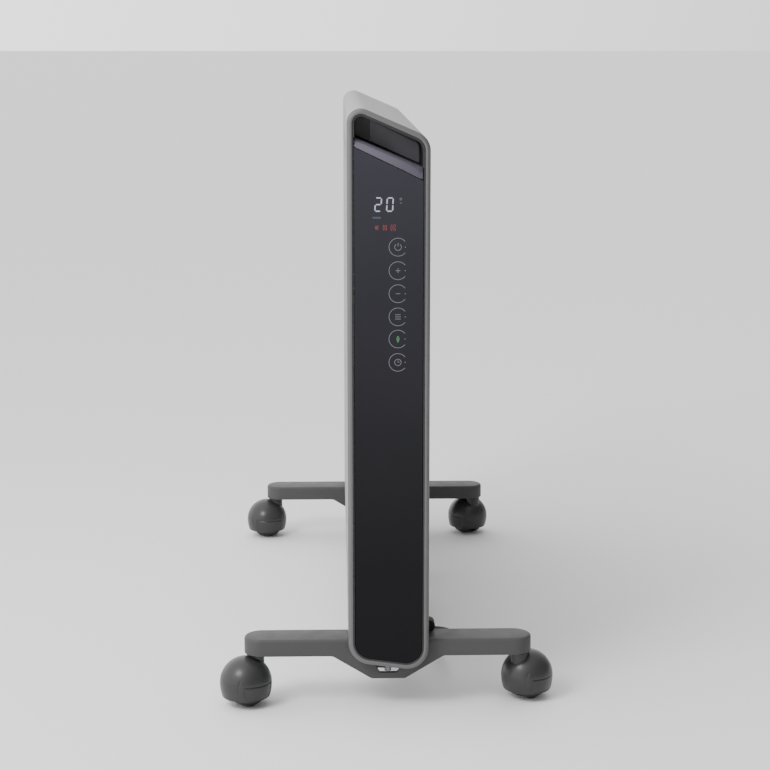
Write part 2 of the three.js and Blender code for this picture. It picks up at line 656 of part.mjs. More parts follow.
// Made with the stem's axis at the origin and the wheels trailing along +X.
function castorHood() {
  const across = (half) => [[CASTOR_TRAIL, -half, WHEEL_RADIUS], [CASTOR_TRAIL, half, WHEEL_RADIUS]];
  const outside = turned(domeProfile(HOOD_RADIUS, HOOD_RIM_RADIUS, HOOD_RIM_HEIGHT), 16);
  const innerRim = HOOD_RIM_RADIUS - HOOD_WALL;
  const inside = turned(domeProfile(HOOD_RADIUS - HOOD_WALL, innerRim, HOOD_RIM_HEIGHT - 1), 16);
  const neck = rod([0, 0, HOOD_CENTRE + NECK_RADIUS], [0, 0, NECK_TOP], NECK_RADIUS, 12);
  const wheelRoom = rod(...across(HOOD_RADIUS), WHEEL_RADIUS + 2 * WHEEL_CLEARANCE, 16);
  const web = block(
    [CASTOR_TRAIL - HOOD_RADIUS / 2, CASTOR_TRAIL + HOOD_RADIUS / 2],
    [-HOOD_WEB / 2, HOOD_WEB / 2],
    [WHEEL_RADIUS - 3 * AXLE_RADIUS, HOOD_CENTRE + HOOD_RADIUS],
  );
  const cavity = inside
    .translate([CASTOR_TRAIL, 0, 0])
    .subtract(web)
    .subtract(neck.subtract(wheelRoom));
  const stemBore = rod([0, 0, stemBottom() - GAP], [0, 0, NECK_TOP + 1], STEM_RADIUS + GAP, 12);
  return outside
    .translate([CASTOR_TRAIL, 0, 0])
    .add(neck)
    .subtract(cavity)
    .subtract(stemBore)
    .subtract(rod(...across(HOOD_RADIUS), AXLE_RADIUS + GAP, 12).intersect(web));
}

function stemBottom() {
  const reach = CASTOR_TRAIL - STEM_RADIUS;
  const wheelTop = WHEEL_RADIUS + Math.sqrt(WHEEL_RADIUS ** 2 - reach ** 2);
  return wheelTop + 2 * WHEEL_CLEARANCE + 2 * GAP;
}

// One half of the twin wheel, turned about the Y axis, with a blind bore for the axle.
function castorWheel(side) {
  const inner = HOOD_WEB / 2 + WHEEL_CLEARANCE / 2;
  const flatReach = 1 / Math.cos(Math.PI / WHEEL_STEPS);
  const boreEnd = WHEEL_TREAD_EDGE + 2;
  const profile = [
    [0, boreEnd],
    [AXLE_RADIUS + GAP, boreEnd],
    [AXLE_RADIUS + GAP, inner],
    [WHEEL_RADIUS * flatReach, inner],
    [WHEEL_RADIUS * flatReach, WHEEL_TREAD_EDGE],
    [WHEEL_DOME_RADIUS, WHEEL_OUTSIDE],
    [0, WHEEL_OUTSIDE],
  ];
  const points = profile.map(([r, t]) => point(r, side * t));
  const ordered = side > 0 ? points : points.reverse();
  const geometry = new THREE.LatheGeometry(ordered, WHEEL_STEPS, Math.PI / WHEEL_STEPS);
  return solid(geometry.translate(CASTOR_TRAIL, 0, WHEEL_RADIUS));
}

function addCastors() {
  const hood = castorHood();
  const wheels = { a: castorWheel(-1), b: castorWheel(1) };
  const axleHalf = WHEEL_TREAD_EDGE + 2 - GAP;
  const axle = rod([CASTOR_TRAIL, -axleHalf, WHEEL_RADIUS], [CASTOR_TRAIL, axleHalf, WHEEL_RADIUS], AXLE_RADIUS, 12);
  const stem = rod([0, 0, stemBottom()], [0, 0, stemTop()], STEM_RADIUS, 12);
  for (const { name, side, foot: end, heading } of CASTORS) {
    const castor = new THREE.Group();
    castor.position.set((side * STEM_SPACING) / 2, FOOT_Y[end], 0);
    castor.rotation.z = THREE.MathUtils.degToRad(heading);
    heater.add(castor);
    addPart(`${name}_stem`, stem, 0x9c9ca0, 0.35, 1, castor);
    addPart(`${name}_hood`, hood, 0x3c3c3e, 0.5, 0, castor);
    addPart(`${name}_axle`, axle, 0x9c9ca0, 0.35, 1, castor);
    addPart(`${name}_wheel_a`, wheels.a, 0x151515, 0.6, 0, castor);
    addPart(`${name}_wheel_b`, wheels.b, 0x151515, 0.6, 0, castor);
  }
}

// ---- Mains lead ------------------------------------------------------------------------------------------------

const GLAND = {
  x: [HALF - HOUSING_WALL, HALF],
  y: [FOOT_Y.front - 8, SECTIONS_START - GAP],
  z: [GLAND_HEIGHT - 10, GLAND_HEIGHT + 7],
};

function glandSlot() {
  return block(
    [GLAND.x[0] - GAP - 2, HALF + 1],
    [GLAND.y[0] - GAP, SECTIONS_START + 1],
    [GLAND.z[0] - GAP, GLAND.z[1] + GAP],
  );
}

// A moulded gland that fills a slot in the housing's side, with a tapered strain relief that bends down.
function gland() {
  const plate = block(GLAND.x, GLAND.y, GLAND.z);
  const relief = [
    { at: [HALF + 2, FOOT_Y.front + 3, GLAND_HEIGHT], radius: 5.6 },
    { at: [HALF + 2.4, FOOT_Y.front + 17, GLAND_HEIGHT - 0.6], radius: 5.2 },
    { at: [HALF + 3.2, FOOT_Y.front + 25, GLAND_HEIGHT - 3.2], radius: 4.9 },
    { at: [HALF + 4, FOOT_Y.front + 33.7, GLAND_HEIGHT - 8.2], radius: 4.6 },
  ];
  const stretches = relief.slice(1).map((stop, i) => rod(relief[i].at, stop.at, relief[i].radius, 12, stop.radius));
  return union([plate, ...stretches]);
}

function fromLeadOrigin([across, along, ...height]) {
  return [HALF + across, FRONT + along, ...height];
}

function plug() {
  const [x, y] = fromLeadOrigin(PLUG_START);
  const z = PLUG_HEIGHT / 2;
  const relief = rod([x, y, z], [x, y + RELIEF_LENGTH + 1, z], CORD_RADIUS + 1, 12, CORD_RADIUS + 3.5);
  const half = PLUG_WIDTH / 2;
  const front = y + RELIEF_LENGTH;
  const outline = [[-9, 0], [9, 0], [half, 12], [half, PLUG_LENGTH], [-half, PLUG_LENGTH], [-half, 12]];
  const body = slab(outline.map(([across, along]) => point(x + across, front + along)), 0, PLUG_HEIGHT);
  return relief.add(body);
}

function addCord() {
  addPart("cord_gland", gland(), 0x0c0c0c, 0.6);
  const places = (route) => route.map((at) => new THREE.Vector3(...fromLeadOrigin(at)));
  addPart("power_cord", tube(places(CORD_ROUTE), CORD_RADIUS, 8, 16), 0x111111, 0.6);
  addPart("cord_tail", tube(places(TAIL_ROUTE), CORD_RADIUS, 8, 6), 0x111111, 0.6);
  const inner = COIL_RADIUS - COIL_COLUMNS * CORD_RADIUS;
  const outer = COIL_RADIUS + COIL_COLUMNS * CORD_RADIUS;
  const height = 2 * COIL_LAYERS * CORD_RADIUS;
  const ring = [[inner, 0], [outer, 0], [outer, height], [inner, height], [inner, 0]];
  addPart("cord_coil", turned(ring, 28).translate([...fromLeadOrigin(COIL_CENTRE), 0]), 0x111111, 0.6);

  addPart("plug_body", plug(), 0x141414, 0.5);
  const [middle, start] = fromLeadOrigin(PLUG_START);
  const tip = start + RELIEF_LENGTH + PLUG_LENGTH + GAP;
  const pins = [
    { name: "plug_pin_live", at: [-6.9, 4], slant: 30 },
    { name: "plug_pin_neutral", at: [6.9, 4], slant: -30 },
    { name: "plug_pin_earth", at: [0, -10.3], slant: 90 },
  ];
  const [wide, thin] = PIN_SIZE.map((size) => size / 2);
  for (const { name, at, slant } of pins) {
    const blade = block([-wide, wide], [0, PIN_LENGTH], [-thin, thin]).rotate([0, slant, 0]);
    const place = [middle + at[0], tip, PLUG_HEIGHT / 2 + PIN_RISE + at[1]];
    addPart(name, blade.translate(place), 0xc9a45a, 0.3, 1);
  }
}

addEnds();
addRadiator();
addControls();
addFeet();
addCastors();
addCord();

export default heater;
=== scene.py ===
"""Looks for the slim oil filled radiator heater: shells, glass, feet, castors and mains lead."""

import json
import math

import bmesh
import bpy
from mathutils import Matrix, Vector


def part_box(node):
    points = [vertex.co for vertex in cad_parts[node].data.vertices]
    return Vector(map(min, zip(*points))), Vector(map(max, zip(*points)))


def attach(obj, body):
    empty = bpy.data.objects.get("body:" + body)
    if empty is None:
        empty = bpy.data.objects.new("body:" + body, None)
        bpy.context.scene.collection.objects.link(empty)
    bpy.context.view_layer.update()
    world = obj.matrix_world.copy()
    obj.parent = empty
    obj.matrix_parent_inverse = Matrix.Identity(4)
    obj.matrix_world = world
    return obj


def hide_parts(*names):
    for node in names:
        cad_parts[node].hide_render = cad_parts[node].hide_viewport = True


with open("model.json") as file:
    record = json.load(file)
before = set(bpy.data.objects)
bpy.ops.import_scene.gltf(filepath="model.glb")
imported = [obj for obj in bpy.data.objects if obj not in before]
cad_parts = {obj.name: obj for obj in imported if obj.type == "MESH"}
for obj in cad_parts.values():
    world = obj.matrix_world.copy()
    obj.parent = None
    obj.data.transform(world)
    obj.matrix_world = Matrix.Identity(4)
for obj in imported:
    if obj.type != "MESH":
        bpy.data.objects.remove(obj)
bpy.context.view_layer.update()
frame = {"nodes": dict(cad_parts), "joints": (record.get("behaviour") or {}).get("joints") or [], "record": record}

MM = 0.001

# The body's outline, in millimetres: x across, z up, and its corners sharp.
HALF = 38.0
LEFT_TOP, RIGHT_TOP = 573.0, 540.0
LEFT_BASE, RIGHT_BASE = 48.0, 37.4
CORNERS = [
    complex(-HALF, LEFT_BASE),
    complex(HALF, RIGHT_BASE),
    complex(HALF, RIGHT_TOP),
    complex(-HALF, LEFT_TOP),
]
CORNER_RADII = [22.5, 21.0, 18.0, 13.0]
CORNER_STEPS = 14

FRONT, BACK = -345.0, 345.0
BEZEL_DEPTH = 14.0
BEZEL_WIDTH = 4.7
CHAMFER = 2.5
FACE_INSET = 5.5
FACE_SETBACK = 0.8
TRIM_WIDTH = 0.6
POCKET_INSET = 7.1
POCKET_DEPTH = 45.0
POCKET_HEIGHT = 29.5
LIP_HEIGHT, LIP_TAPER, LIP_BEVEL, LIP_DEPTH = 9.8, 0.04, 6.0, 8.0
HOUSING_WALL, HOUSING_LENGTH = 2.5, 65.0
SHEET = 0.8

# The mains lead: the points of its route outside the coil, as the CAD has them.
CORD_RADIUS = 3.5
CORD_ROUTE = [
    (42, -280.9, 64.8),
    (42.5, -272, 59.5),
    (45, -263, 54.6),
    (50, -254.5, 50.8),
    (56.5, -245, 47),
    (61.5, -234, 42.4),
    (63.8, -220, 35.8),
    (63, -204, 27.8),
    (59.3, -188, 20),
    (54.4, -172, 13),
    (50, -156, 7.6),
    (47.4, -140, 4.5),
    (46.4, -124, 3.6),
    (46.2, -108, 3.5),
    (46.4, -92, 3.5),
    (46.5, -80, 3.5),
    (46.5, -65.5, 3.5),
]
TAIL_ROUTE = [
    (46.5, -14.5, 7.9),
    (46.5, -4, 5.8),
    (46, 7, 4.9),
    (44, 18, 5.6),
    (40.9, 29, 8.2),
    (38, 40, 11),
    (37.2, 51, 12.9),
    (37, 62, 13.5),
]
COIL_CENTRE = (8.5, -40.0)
COIL_SLOTS = [(38, 3.5), (31, 3.5), (31, 10.5), (31, 17.5), (38, 17.5), (38, 10.5)]
COIL_TURNS = 5
COIL_STEP = 10  # degrees

# The studio, in metres and degrees.
LENS = 86.5
CAMERA_PLACE = (-0.048, -2.017, 0.622)
CAMERA_DIP, CAMERA_TURN = 10.41, -1.525
SKY_WAY = (-0.85, 0.3, 0.3)  # towards the brightest part of the sky
SKY_DARK, SKY_BRIGHT = 0.25, 2.2
KEY_POWER, KEY_SIZE = 20, 0.6
KEY_PLACE, KEY_TARGET = (-0.9, -1.1, 1.3), (0, -0.3, 0.45)
FLOOR_SIZE = 400


def linked(name, data):
    """A new object in the scene."""
    item = bpy.data.objects.new(name, data)
    bpy.context.scene.collection.objects.link(item)
    return item


# ---- Camera, light and floor ----------------------------


def add_camera():
    data = bpy.data.cameras.new("camera")
    data.lens = LENS
    data.sensor_width = 36
    camera = linked("camera", data)
    camera.location = CAMERA_PLACE
    camera.rotation_euler = (math.radians(90 - CAMERA_DIP), 0, math.radians(CAMERA_TURN))
    bpy.context.scene.camera = camera


def add_key_light():
    data = bpy.data.lights.new("key", "AREA")
    data.size = KEY_SIZE
    data.energy = KEY_POWER
    light = linked("key", data)
    light.location = KEY_PLACE
    way = Vector(KEY_TARGET) - Vector(KEY_PLACE)
    light.rotation_euler = way.to_track_quat("-Z", "Y").to_euler()


def add_studio():
    """A bright sky to the upper left and behind, and much less light from the other side."""
    world = bpy.data.worlds.new("studio")
    bpy.context.scene.world = world
    world.use_nodes = True
    nodes, links = world.node_tree.nodes, world.node_tree.links
    background = nodes["Background"]
    background.inputs["Color"].default_value = (1.0, 1.0, 1.0, 1)
    direction = nodes.new("ShaderNodeTexCoord")
    towards = nodes.new("ShaderNodeVectorMath")
    towards.operation = "DOT_PRODUCT"
    towards.inputs[1].default_value = Vector(SKY_WAY).normalized()
    links.new(direction.outputs["Generated"], towards.inputs[0])
    light = spread(nodes, links, towards.outputs["Value"], SKY_DARK, SKY_BRIGHT, -0.5, 0.5)
    links.new(light, background.inputs["Strength"])
    add_key_light()
    bpy.ops.mesh.primitive_plane_add(size=FLOOR_SIZE, location=(0, 0, 0))
    floor = bpy.context.object
    floor.name = "floor"
    material, nodes, links, shader = new_material("studio_floor")
    shader.inputs["Base Color"].default_value = (0.82, 0.82, 0.82, 1)
    shader.inputs["Roughness"].default_value = 0.9
    floor.data.materials.append(material)


# ---- Materials ------------------------------------------


def new_material(name):
    material = bpy.data.materials.new(name)
    material.use_nodes = True
    nodes, links = material.node_tree.nodes, material.node_tree.links
    return material, nodes, links, nodes["Principled BSDF"]


def noise(nodes, links, scale, detail=2.0):
    """Noise in the frame's own coordinates, so that its grain has a real size."""
    place = nodes.new("ShaderNodeTexCoord")
    texture = nodes.new("ShaderNodeTexNoise")
    texture.inputs["Scale"].default_value = scale
    texture.inputs["Detail"].default_value = detail
    links.new(place.outputs["Object"], texture.inputs["Vector"])
    return texture.outputs["Fac"]


def spread(nodes, links, source, low, high, start=0.3, end=0.7):
    """The source's range from start to end, carried over to low to high."""
    change = nodes.new("ShaderNodeMapRange")
    change.inputs["From Min"].default_value = start
    change.inputs["From Max"].default_value = end
    change.inputs["To Min"].default_value = low
    change.inputs["To Max"].default_value = high
    links.new(source, change.inputs["Value"])
    return change.outputs["Result"]


def tinted(nodes, links, source, colour, change):
    """A colour that drifts a little darker and lighter with the source."""
    ramp = nodes.new("ShaderNodeValToRGB")
    for element, share in zip(ramp.color_ramp.elements, (1 - change, 1 + change)):
        element.color = [*(min(1, channel * share) for channel in colour), 1]
    ramp.color_ramp.elements[0].position = 0.3
    ramp.color_ramp.elements[1].position = 0.7
    links.new(source, ramp.inputs["Fac"])
    return ramp.outputs["Color"]


def bump(nodes, links, source, depth, after=None):
    node = nodes.new("ShaderNodeBump")
    node.inputs["Distance"].default_value = depth
    node.inputs["Strength"].default_value = 1.0
    links.new(source, node.inputs["Height"])
    if after:
        links.new(after, node.inputs["Normal"])
    return node.outputs["Normal"]


def surface(
    name,
    colour,
    roughness,
    metallic=0.0,
    grain=900,
    grain_depth=0.00003,
    wave_depth=0.0,
    rough_drift=0.05,
    coat=0.0,
    specular=0.5,
):
    """A moulded, painted or plated surface: fine grain, a slow colour drift and uneven gloss."""
    material, nodes, links, shader = new_material(name)
    cloudy = noise(nodes, links, 9, 3)
    fine = noise(nodes, links, grain, 2)
    links.new(tinted(nodes, links, cloudy, colour, 0.04), shader.inputs["Base Color"])
    low, high = roughness - rough_drift, roughness + rough_drift
    gloss = spread(nodes, links, noise(nodes, links, 60, 4), low, high)
    links.new(gloss, shader.inputs["Roughness"])
    normal = bump(nodes, links, fine, grain_depth)
    if wave_depth:
        normal = bump(nodes, links, noise(nodes, links, 14, 1), wave_depth, after=normal)
    links.new(normal, shader.inputs["Normal"])
    shader.inputs["Metallic"].default_value = metallic
    shader.inputs["Specular IOR Level"].default_value = specular
    shader.inputs["Coat Weight"].default_value = coat
    shader.inputs["Coat Roughness"].default_value = 0.1
    return material


def glowing(name, colour, strength):
    """Light from a printed symbol, a little uneven across it."""
    material, nodes, links, shader = new_material(name)
    shader.inputs["Base Color"].default_value = (0.02, 0.02, 0.02, 1)
    shader.inputs["Roughness"].default_value = 0.2
    shader.inputs["Emission Color"].default_value = (*colour, 1)
    light = spread(nodes, links, noise(nodes, links, 350), strength * 0.85, strength)
    links.new(light, shader.inputs["Emission Strength"])
    return material


def black_glass():
    """Glass with a black print behind it, and a painted reflection that makes it paler and bluer towards its top.
    """
    material, nodes, links, shader = new_material("black_glass")
    place = nodes.new("ShaderNodeTexCoord")
    height = nodes.new("ShaderNodeSeparateXYZ")
    links.new(place.outputs["Object"], height.inputs["Vector"])
    # Painted reflection: the colour rises with height from near black to a pale blue-grey, standing in for the
    # bright studio mirrored in the glass.
    painted_reflection_tone = nodes.new("ShaderNodeValToRGB")
    links.new(spread(nodes, links, height.outputs["Z"], 0, 1, 0.04, 0.54), painted_reflection_tone.inputs["Fac"])
    stops = painted_reflection_tone.color_ramp.elements
    stops[0].position, stops[1].position = 0, 1
    for position in (0.2, 0.45, 0.75):
        stops.new(position)
    for stop, tone in zip(stops, (0.003, 0.004, 0.010, 0.020, 0.034)):
        stop.color = (tone, tone * 0.97, tone * 1.25, 1)
    cloudy = noise(nodes, links, 5)
    mix = nodes.new("ShaderNodeMix")
    mix.data_type = "RGBA"
    mix.blend_type = "MULTIPLY"
    mix.inputs["Factor"].default_value = 1
    links.new(painted_reflection_tone.outputs["Color"], mix.inputs["A"])
    links.new(spread(nodes, links, cloudy, 0.88, 1.12), mix.inputs["B"])
    links.new(mix.outputs["Result"], shader.inputs["Base Color"])
    gloss = spread(nodes, links, noise(nodes, links, 40, 4), 0.07, 0.11)
    links.new(gloss, shader.inputs["Roughness"])
    links.new(bump(nodes, links, noise(nodes, links, 25, 1), 0.00002), shader.inputs["Normal"])
    shader.inputs["Specular IOR Level"].default_value = 0.12
    return material


def circuit_board():
    """Green solder mask with copper tracks under it."""
    material, nodes, links, shader = new_material("circuit_board")
    place = nodes.new("ShaderNodeTexCoord")
    tracks = nodes.new("ShaderNodeTexBrick")
    tracks.inputs["Scale"].default_value = 120
    tracks.inputs["Color1"].default_value = (0.02, 0.12, 0.05, 1)
    tracks.inputs["Color2"].default_value = (0.03, 0.16, 0.07, 1)
    tracks.inputs["Mortar"].default_value = (0.05, 0.22, 0.10, 1)
    links.new(place.outputs["Object"], tracks.inputs["Vector"])
    links.new(tracks.outputs["Color"], shader.inputs["Base Color"])
    links.new(bump(nodes, links, tracks.outputs["Fac"], 0.00005), shader.inputs["Normal"])
    links.new(spread(nodes, links, noise(nodes, links, 80), 0.3, 0.45), shader.inputs["Roughness"])
    return material


# Colour, roughness, metallic, grain per metre and grain depth in metres, then what else differs.
SURFACES = {
    "silver_plastic": ((0.27, 0.269, 0.272), 0.5, 0, 1400, 0.000012, {"specular": 0.2}),
    "bezel_plastic": ((0.108, 0.107, 0.109), 0.42, 0, 1400, 0.000012, {"specular": 0.3}),
    "silver_paint": (
        (0.25, 0.25, 0.253), 0.5, 0, 1100, 0.00002, {"wave_depth": 0.00006, "specular": 0.2},
    ),
    "edge_trim": ((0.015, 0.015, 0.017), 0.4, 0, 1500, 0.000002, {}),
    "lip_plastic": ((0.09, 0.083, 0.11), 0.22, 0.2, 1200, 0.00001, {"coat": 0.5}),
    "frame_plastic": ((0.018, 0.018, 0.02), 0.38, 0, 1600, 0.00002, {}),
    "pocket_plastic": ((0.115, 0.108, 0.135), 0.36, 0, 1600, 0.00002, {}),
    "panel_plastic": ((0.055, 0.055, 0.06), 0.5, 0, 1500, 0.00004, {}),
    "foot_paint": ((0.058, 0.058, 0.059), 0.5, 0, 1300, 0.00003, {"specular": 0.2}),
    "castor_plastic": (
        (0.027, 0.027, 0.028), 0.38, 0, 1500, 0.000012, {"coat": 0.1, "specular": 0.35},
    ),
    "neck_plastic": ((0.02, 0.02, 0.021), 0.4, 0, 1500, 0.000012, {}),
    "wheel_plastic": ((0.012, 0.012, 0.012), 0.5, 0, 1500, 0.00003, {}),
    "zinc_steel": ((0.62, 0.62, 0.63), 0.25, 1.0, 600, 0.00001, {"rough_drift": 0.1}),
    "brass": ((0.66, 0.49, 0.22), 0.28, 1.0, 600, 0.00001, {"rough_drift": 0.1}),
    "ivory_plastic": ((0.76, 0.70, 0.58), 0.45, 0, 1500, 0.00001, {}),
    "cord_rubber": ((0.006, 0.006, 0.006), 0.55, 0, 1800, 0.00003, {"specular": 0.2}),
    "cord_tie": ((0.02, 0.02, 0.022), 0.7, 0, 2500, 0.0001, {}),
}
# Colour and strength.
LIGHTS = {
    "white_symbols": ((0.85, 0.88, 1.0), 0.22),
    "digit_light": ((0.75, 0.86, 1.0), 0.8),
    "green_light": ((0.25, 1.0, 0.35), 0.35),
    "red_light": ((1.0, 0.08, 0.08), 0.3),
    "blue_light": ((0.3, 0.4, 1.0), 0.12),
}


def make_materials():
    looks = {name: surface(name, *look, **more) for name, (*look, more) in SURFACES.items()}
    looks |= {name: glowing(name, *light) for name, light in LIGHTS.items()}
    looks |= {"black_glass": black_glass(), "circuit_board": circuit_board()}
    return looks


# ---- Mesh building --------------------------------------


def made(name, points, faces, sharp=32):
    """A new object from points in millimetres, with faces turned outwards and sharp edges kept."""
    mesh = bpy.data.meshes.new(name)
    mesh.from_pydata([(x * MM, y * MM, z * MM) for x, y, z in points], [], faces)
    tidy = bmesh.new()
    tidy.from_mesh(mesh)
    bmesh.ops.remove_doubles(tidy, verts=tidy.verts, dist=1e-7)
    bmesh.ops.recalc_face_normals(tidy, faces=tidy.faces)
    tidy.to_mesh(mesh)
    tidy.free()
    piece = linked(name, mesh)
    shade(piece, sharp)
    return piece


def shade(piece, sharp=32):
    """Smooth shading, with a hard edge where faces meet at more than that many degrees."""
    piece.data.polygons.foreach_set("use_smooth", [True] * len(piece.data.polygons))
    piece.data.set_sharp_from_angle(angle=math.radians(sharp))


def loft_faces(count, size, closed, first=0):
    """Faces over count rings of size points each, numbered from first."""
    faces = []
    for r in range(count if closed else count - 1):
        a, b = first + r * size, first + (r + 1) % count * size
        faces += [(a + i, a + (i + 1) % size, b + (i + 1) % size, b + i) for i in range(size)]
    if not closed:
        faces.append(tuple(first + i for i in reversed(range(size))))
        faces.append(tuple(first + (count - 1) * size + i for i in range(size)))
    return faces


def loft(name, rings, closed=False, sharp=32):
    """A skin over rings of equally many points, closed on itself or else capped at both ends."""
    points = [point for ring in rings for point in ring]
    return made(name, points, loft_faces(len(rings), len(rings[0]), closed), sharp)


def at(outline, y):
    """A complex outline, x and z, as points at that y."""
    return [(p.real, y, p.imag) for p in outline]


def joined(name, pieces):
    """One object of several solids."""
    bpy.context.view_layer.update()
    whole = bmesh.new()
    for piece in pieces:
        start = len(whole.verts)
        whole.from_mesh(piece.data)
        whole.verts.ensure_lookup_table()
        for vertex in whole.verts[start:]:
            vertex.co = piece.matrix_world @ vertex.co
    mesh = bpy.data.meshes.new(name)
    whole.to_mesh(mesh)
    whole.free()
    for piece in pieces:
        bpy.data.objects.remove(piece)
    return linked(name, mesh)


def combine(piece, tool, operation="DIFFERENCE"):
    """Works the tool into the piece and removes it."""
    change = piece.modifiers.new("cut", "BOOLEAN")
    change.object = tool
    change.operation = operation
    change.solver = "EXACT"
    graph = bpy.context.evaluated_depsgraph_get()
    piece.data = bpy.data.meshes.new_from_object(piece.evaluated_get(graph))
    piece.modifiers.clear()
    bpy.data.objects.remove(tool)
    return piece


def soften(piece, width, segments=2, angle=32):
    """Rounds the edges by a modifier, and keeps flat faces flat."""
    bevel = piece.modifiers.new("soften", "BEVEL")
    bevel.width = width * MM
    bevel.segments = segments
    bevel.limit_method = "ANGLE"
    bevel.angle_limit = math.radians(angle)
    bevel.harden_normals = True
    return piece


def place(piece, material, slot, body="heater", replaced=()):
    """Gives a piece its material and its body, and hides the CAD nodes it stands for. The slot is not used."""
    piece.data.materials.clear()
    piece.data.materials.append(materials[material])
    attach(piece, body)
    if replaced:
        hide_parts(*replaced)
    return piece


def block(name, x, y, z):
    outline = [complex(x[0], z[0]), complex(x[1], z[0]), complex(x[1], z[1]), complex(x[0], z[1])]
    return loft(name, [at(outline, y[0]), at(outline, y[1])])


def arc(centre, radius, start, end, steps):
    """Points on an arc, with its angles in degrees."""
    turns = [math.radians(start + (end - start) * i / steps) for i in range(steps + 1)]
    return [centre + radius * complex(math.cos(t), math.sin(t)) for t in turns]


def lathe(name, profile, sides=48, centre=(0, 0), sharp=32):
    """(radius, height) pairs turned about a vertical axis: they end on it, or close the profile."""
    closed = profile[0] == profile[-1]
    rows = profile[:-1] if closed else profile
    turns = [2 * math.pi * i / sides for i in range(sides)]
    cx, cy = centre
    rings = [[(cx + r * math.cos(t), cy + r * math.sin(t), z) for t in turns] for r, z in rows]
    return loft(name, rings, closed, sharp)


def rod(name, start, end, radius, sides=32, soft=0.3):
    """A round bar between two points, with small rounded end edges."""
    way = Vector(end) - Vector(start)
    long = way.length
    profile = [(radius - soft, 0), (radius, soft), (radius, long - soft), (radius - soft, long)]
    turns = [2 * math.pi * i / sides for i in range(sides)]
    turn = way.to_track_quat("Z", "Y")
    rings = []
    for r, z in profile:
        ring = [Vector(start) + turn @ Vector((r * math.cos(t), r * math.sin(t), z)) for t in turns]
        rings.append([tuple(p) for p in ring])
    return loft(name, rings)


# ---- The body's outline ---------------------------------


def cross(a, b):
    return (a.conjugate() * b).imag


def inset_corners(inset):
    """The body's sharp corners, moved in by that much from every side."""
    ways = [CORNERS[(i + 1) % 4] - CORNERS[i] for i in range(4)]
    ways = [way / abs(way) for way in ways]
    starts = [CORNERS[i] + 1j * ways[i] * inset for i in range(4)]
    corners = []
    for i in range(4):
        along = cross(starts[i] - starts[i - 1], ways[i]) / cross(ways[i - 1], ways[i])
        corners.append(starts[i - 1] + ways[i - 1] * along)
    return corners


def rounded(corners, radii, steps=CORNER_STEPS):
    """A polygon with an arc of its own radius at each corner."""
    points = []
    for i, corner in enumerate(corners):
        back = corners[i - 1] - corner
        ahead = corners[(i + 1) % len(corners)] - corner
        back, ahead = back / abs(back), ahead / abs(ahead)
        half = math.acos(max(-1, min(1, (back.conjugate() * ahead).real))) / 2
        start = corner + back * radii[i] / math.tan(half)
        centre = corner + (back + ahead) / abs(back + ahead) * radii[i] / math.sin(half)
        turn = math.copysign(math.pi - 2 * half, cross(-back, ahead))
        for k in range(steps + 1):
            spin = turn * k / steps
            points.append(centre + (start - centre) * complex(math.cos(spin), math.sin(spin)))
    return points


def body_outline(inset):
    return rounded(inset_corners(inset), [max(radius - inset, 0.6) for radius in CORNER_RADII])


def top_line(x):
    return LEFT_TOP - (LEFT_TOP - RIGHT_TOP) * (x + HALF) / (2 * HALF)


def underside(x):
    return LEFT_BASE - (LEFT_BASE - RIGHT_BASE) * (x + HALF) / (2 * HALF)


def lip_top(x):
    return top_line(x) - POCKET_HEIGHT


def lip_bottom(x):
    return lip_top(x) - LIP_HEIGHT - LIP_TAPER * x


def clipped(outline, line, above):
    """The part of an outline above or below a line across the body."""
    kept = []
    sign = 1 if above else -1
    for a, b in zip(outline, outline[1:] + outline[:1]):
        da, db = (sign * (p.imag - line(p.real)) for p in (a, b))
        if da >= 0:
            kept.append(a)
        if da * db < 0:
            kept.append(a + (b - a) * da / (da - db))
    return kept


def frame_ring(name, profile):
    """A hoop round the body, from a closed profile of (inset, y) pairs."""
    return loft(name, [at(body_outline(inset), y) for inset, y in profile], True)


# ---- Radiator -------------------------------------------

LOUVRE_TOP, LOUVRE_PITCH, LOUVRE_HEIGHT, LOUVRE_COUNT = 45.0, 11.0, 5.0, 2
LOUVRE_MARGIN = 9.0
INTAKE_WIDTH, INTAKE_GAP = 26.0, 4.8
HEADER_HEIGHTS = (105.0, 478.0)
HEADER_RADIUS = 20.0
CASING_GAP, PACK_GAP = 1.6, 0.3  # between casings here, and between sections in the CAD


def stadium(start, end, radius, steps=8):
    """A slot's outline between the centres of its round ends, along the first coordinate."""
    return arc(complex(*end), radius, -90, 90, steps) + arc(complex(*start), radius, 90, 270, steps)


def air_slots(front, back):
    slots = []
    radius = LOUVRE_HEIGHT / 2
    for i in range(LOUVRE_COUNT):
        height = LEFT_TOP - LOUVRE_TOP - i * LOUVRE_PITCH - radius
        ends = (front + LOUVRE_MARGIN + radius, height), (back - LOUVRE_MARGIN - radius, height)
        outline = stadium(*ends, radius)
        rings = [[(x, p.real, p.imag) for p in outline] for x in (-60, 60)]
        slots.append(loft(f"louvre_{i}", rings))
    middle = (front + back) / 2
    intakes = [
        (front + LOUVRE_MARGIN, middle - INTAKE_GAP / 2),
        (middle + INTAKE_GAP / 2, back - LOUVRE_MARGIN),
    ]
    for i, y in enumerate(intakes):
        slots.append(block(f"intake_{i}", (-INTAKE_WIDTH / 2, INTAKE_WIDTH / 2), y, (20, 58)))
    return joined("air_slots", slots)


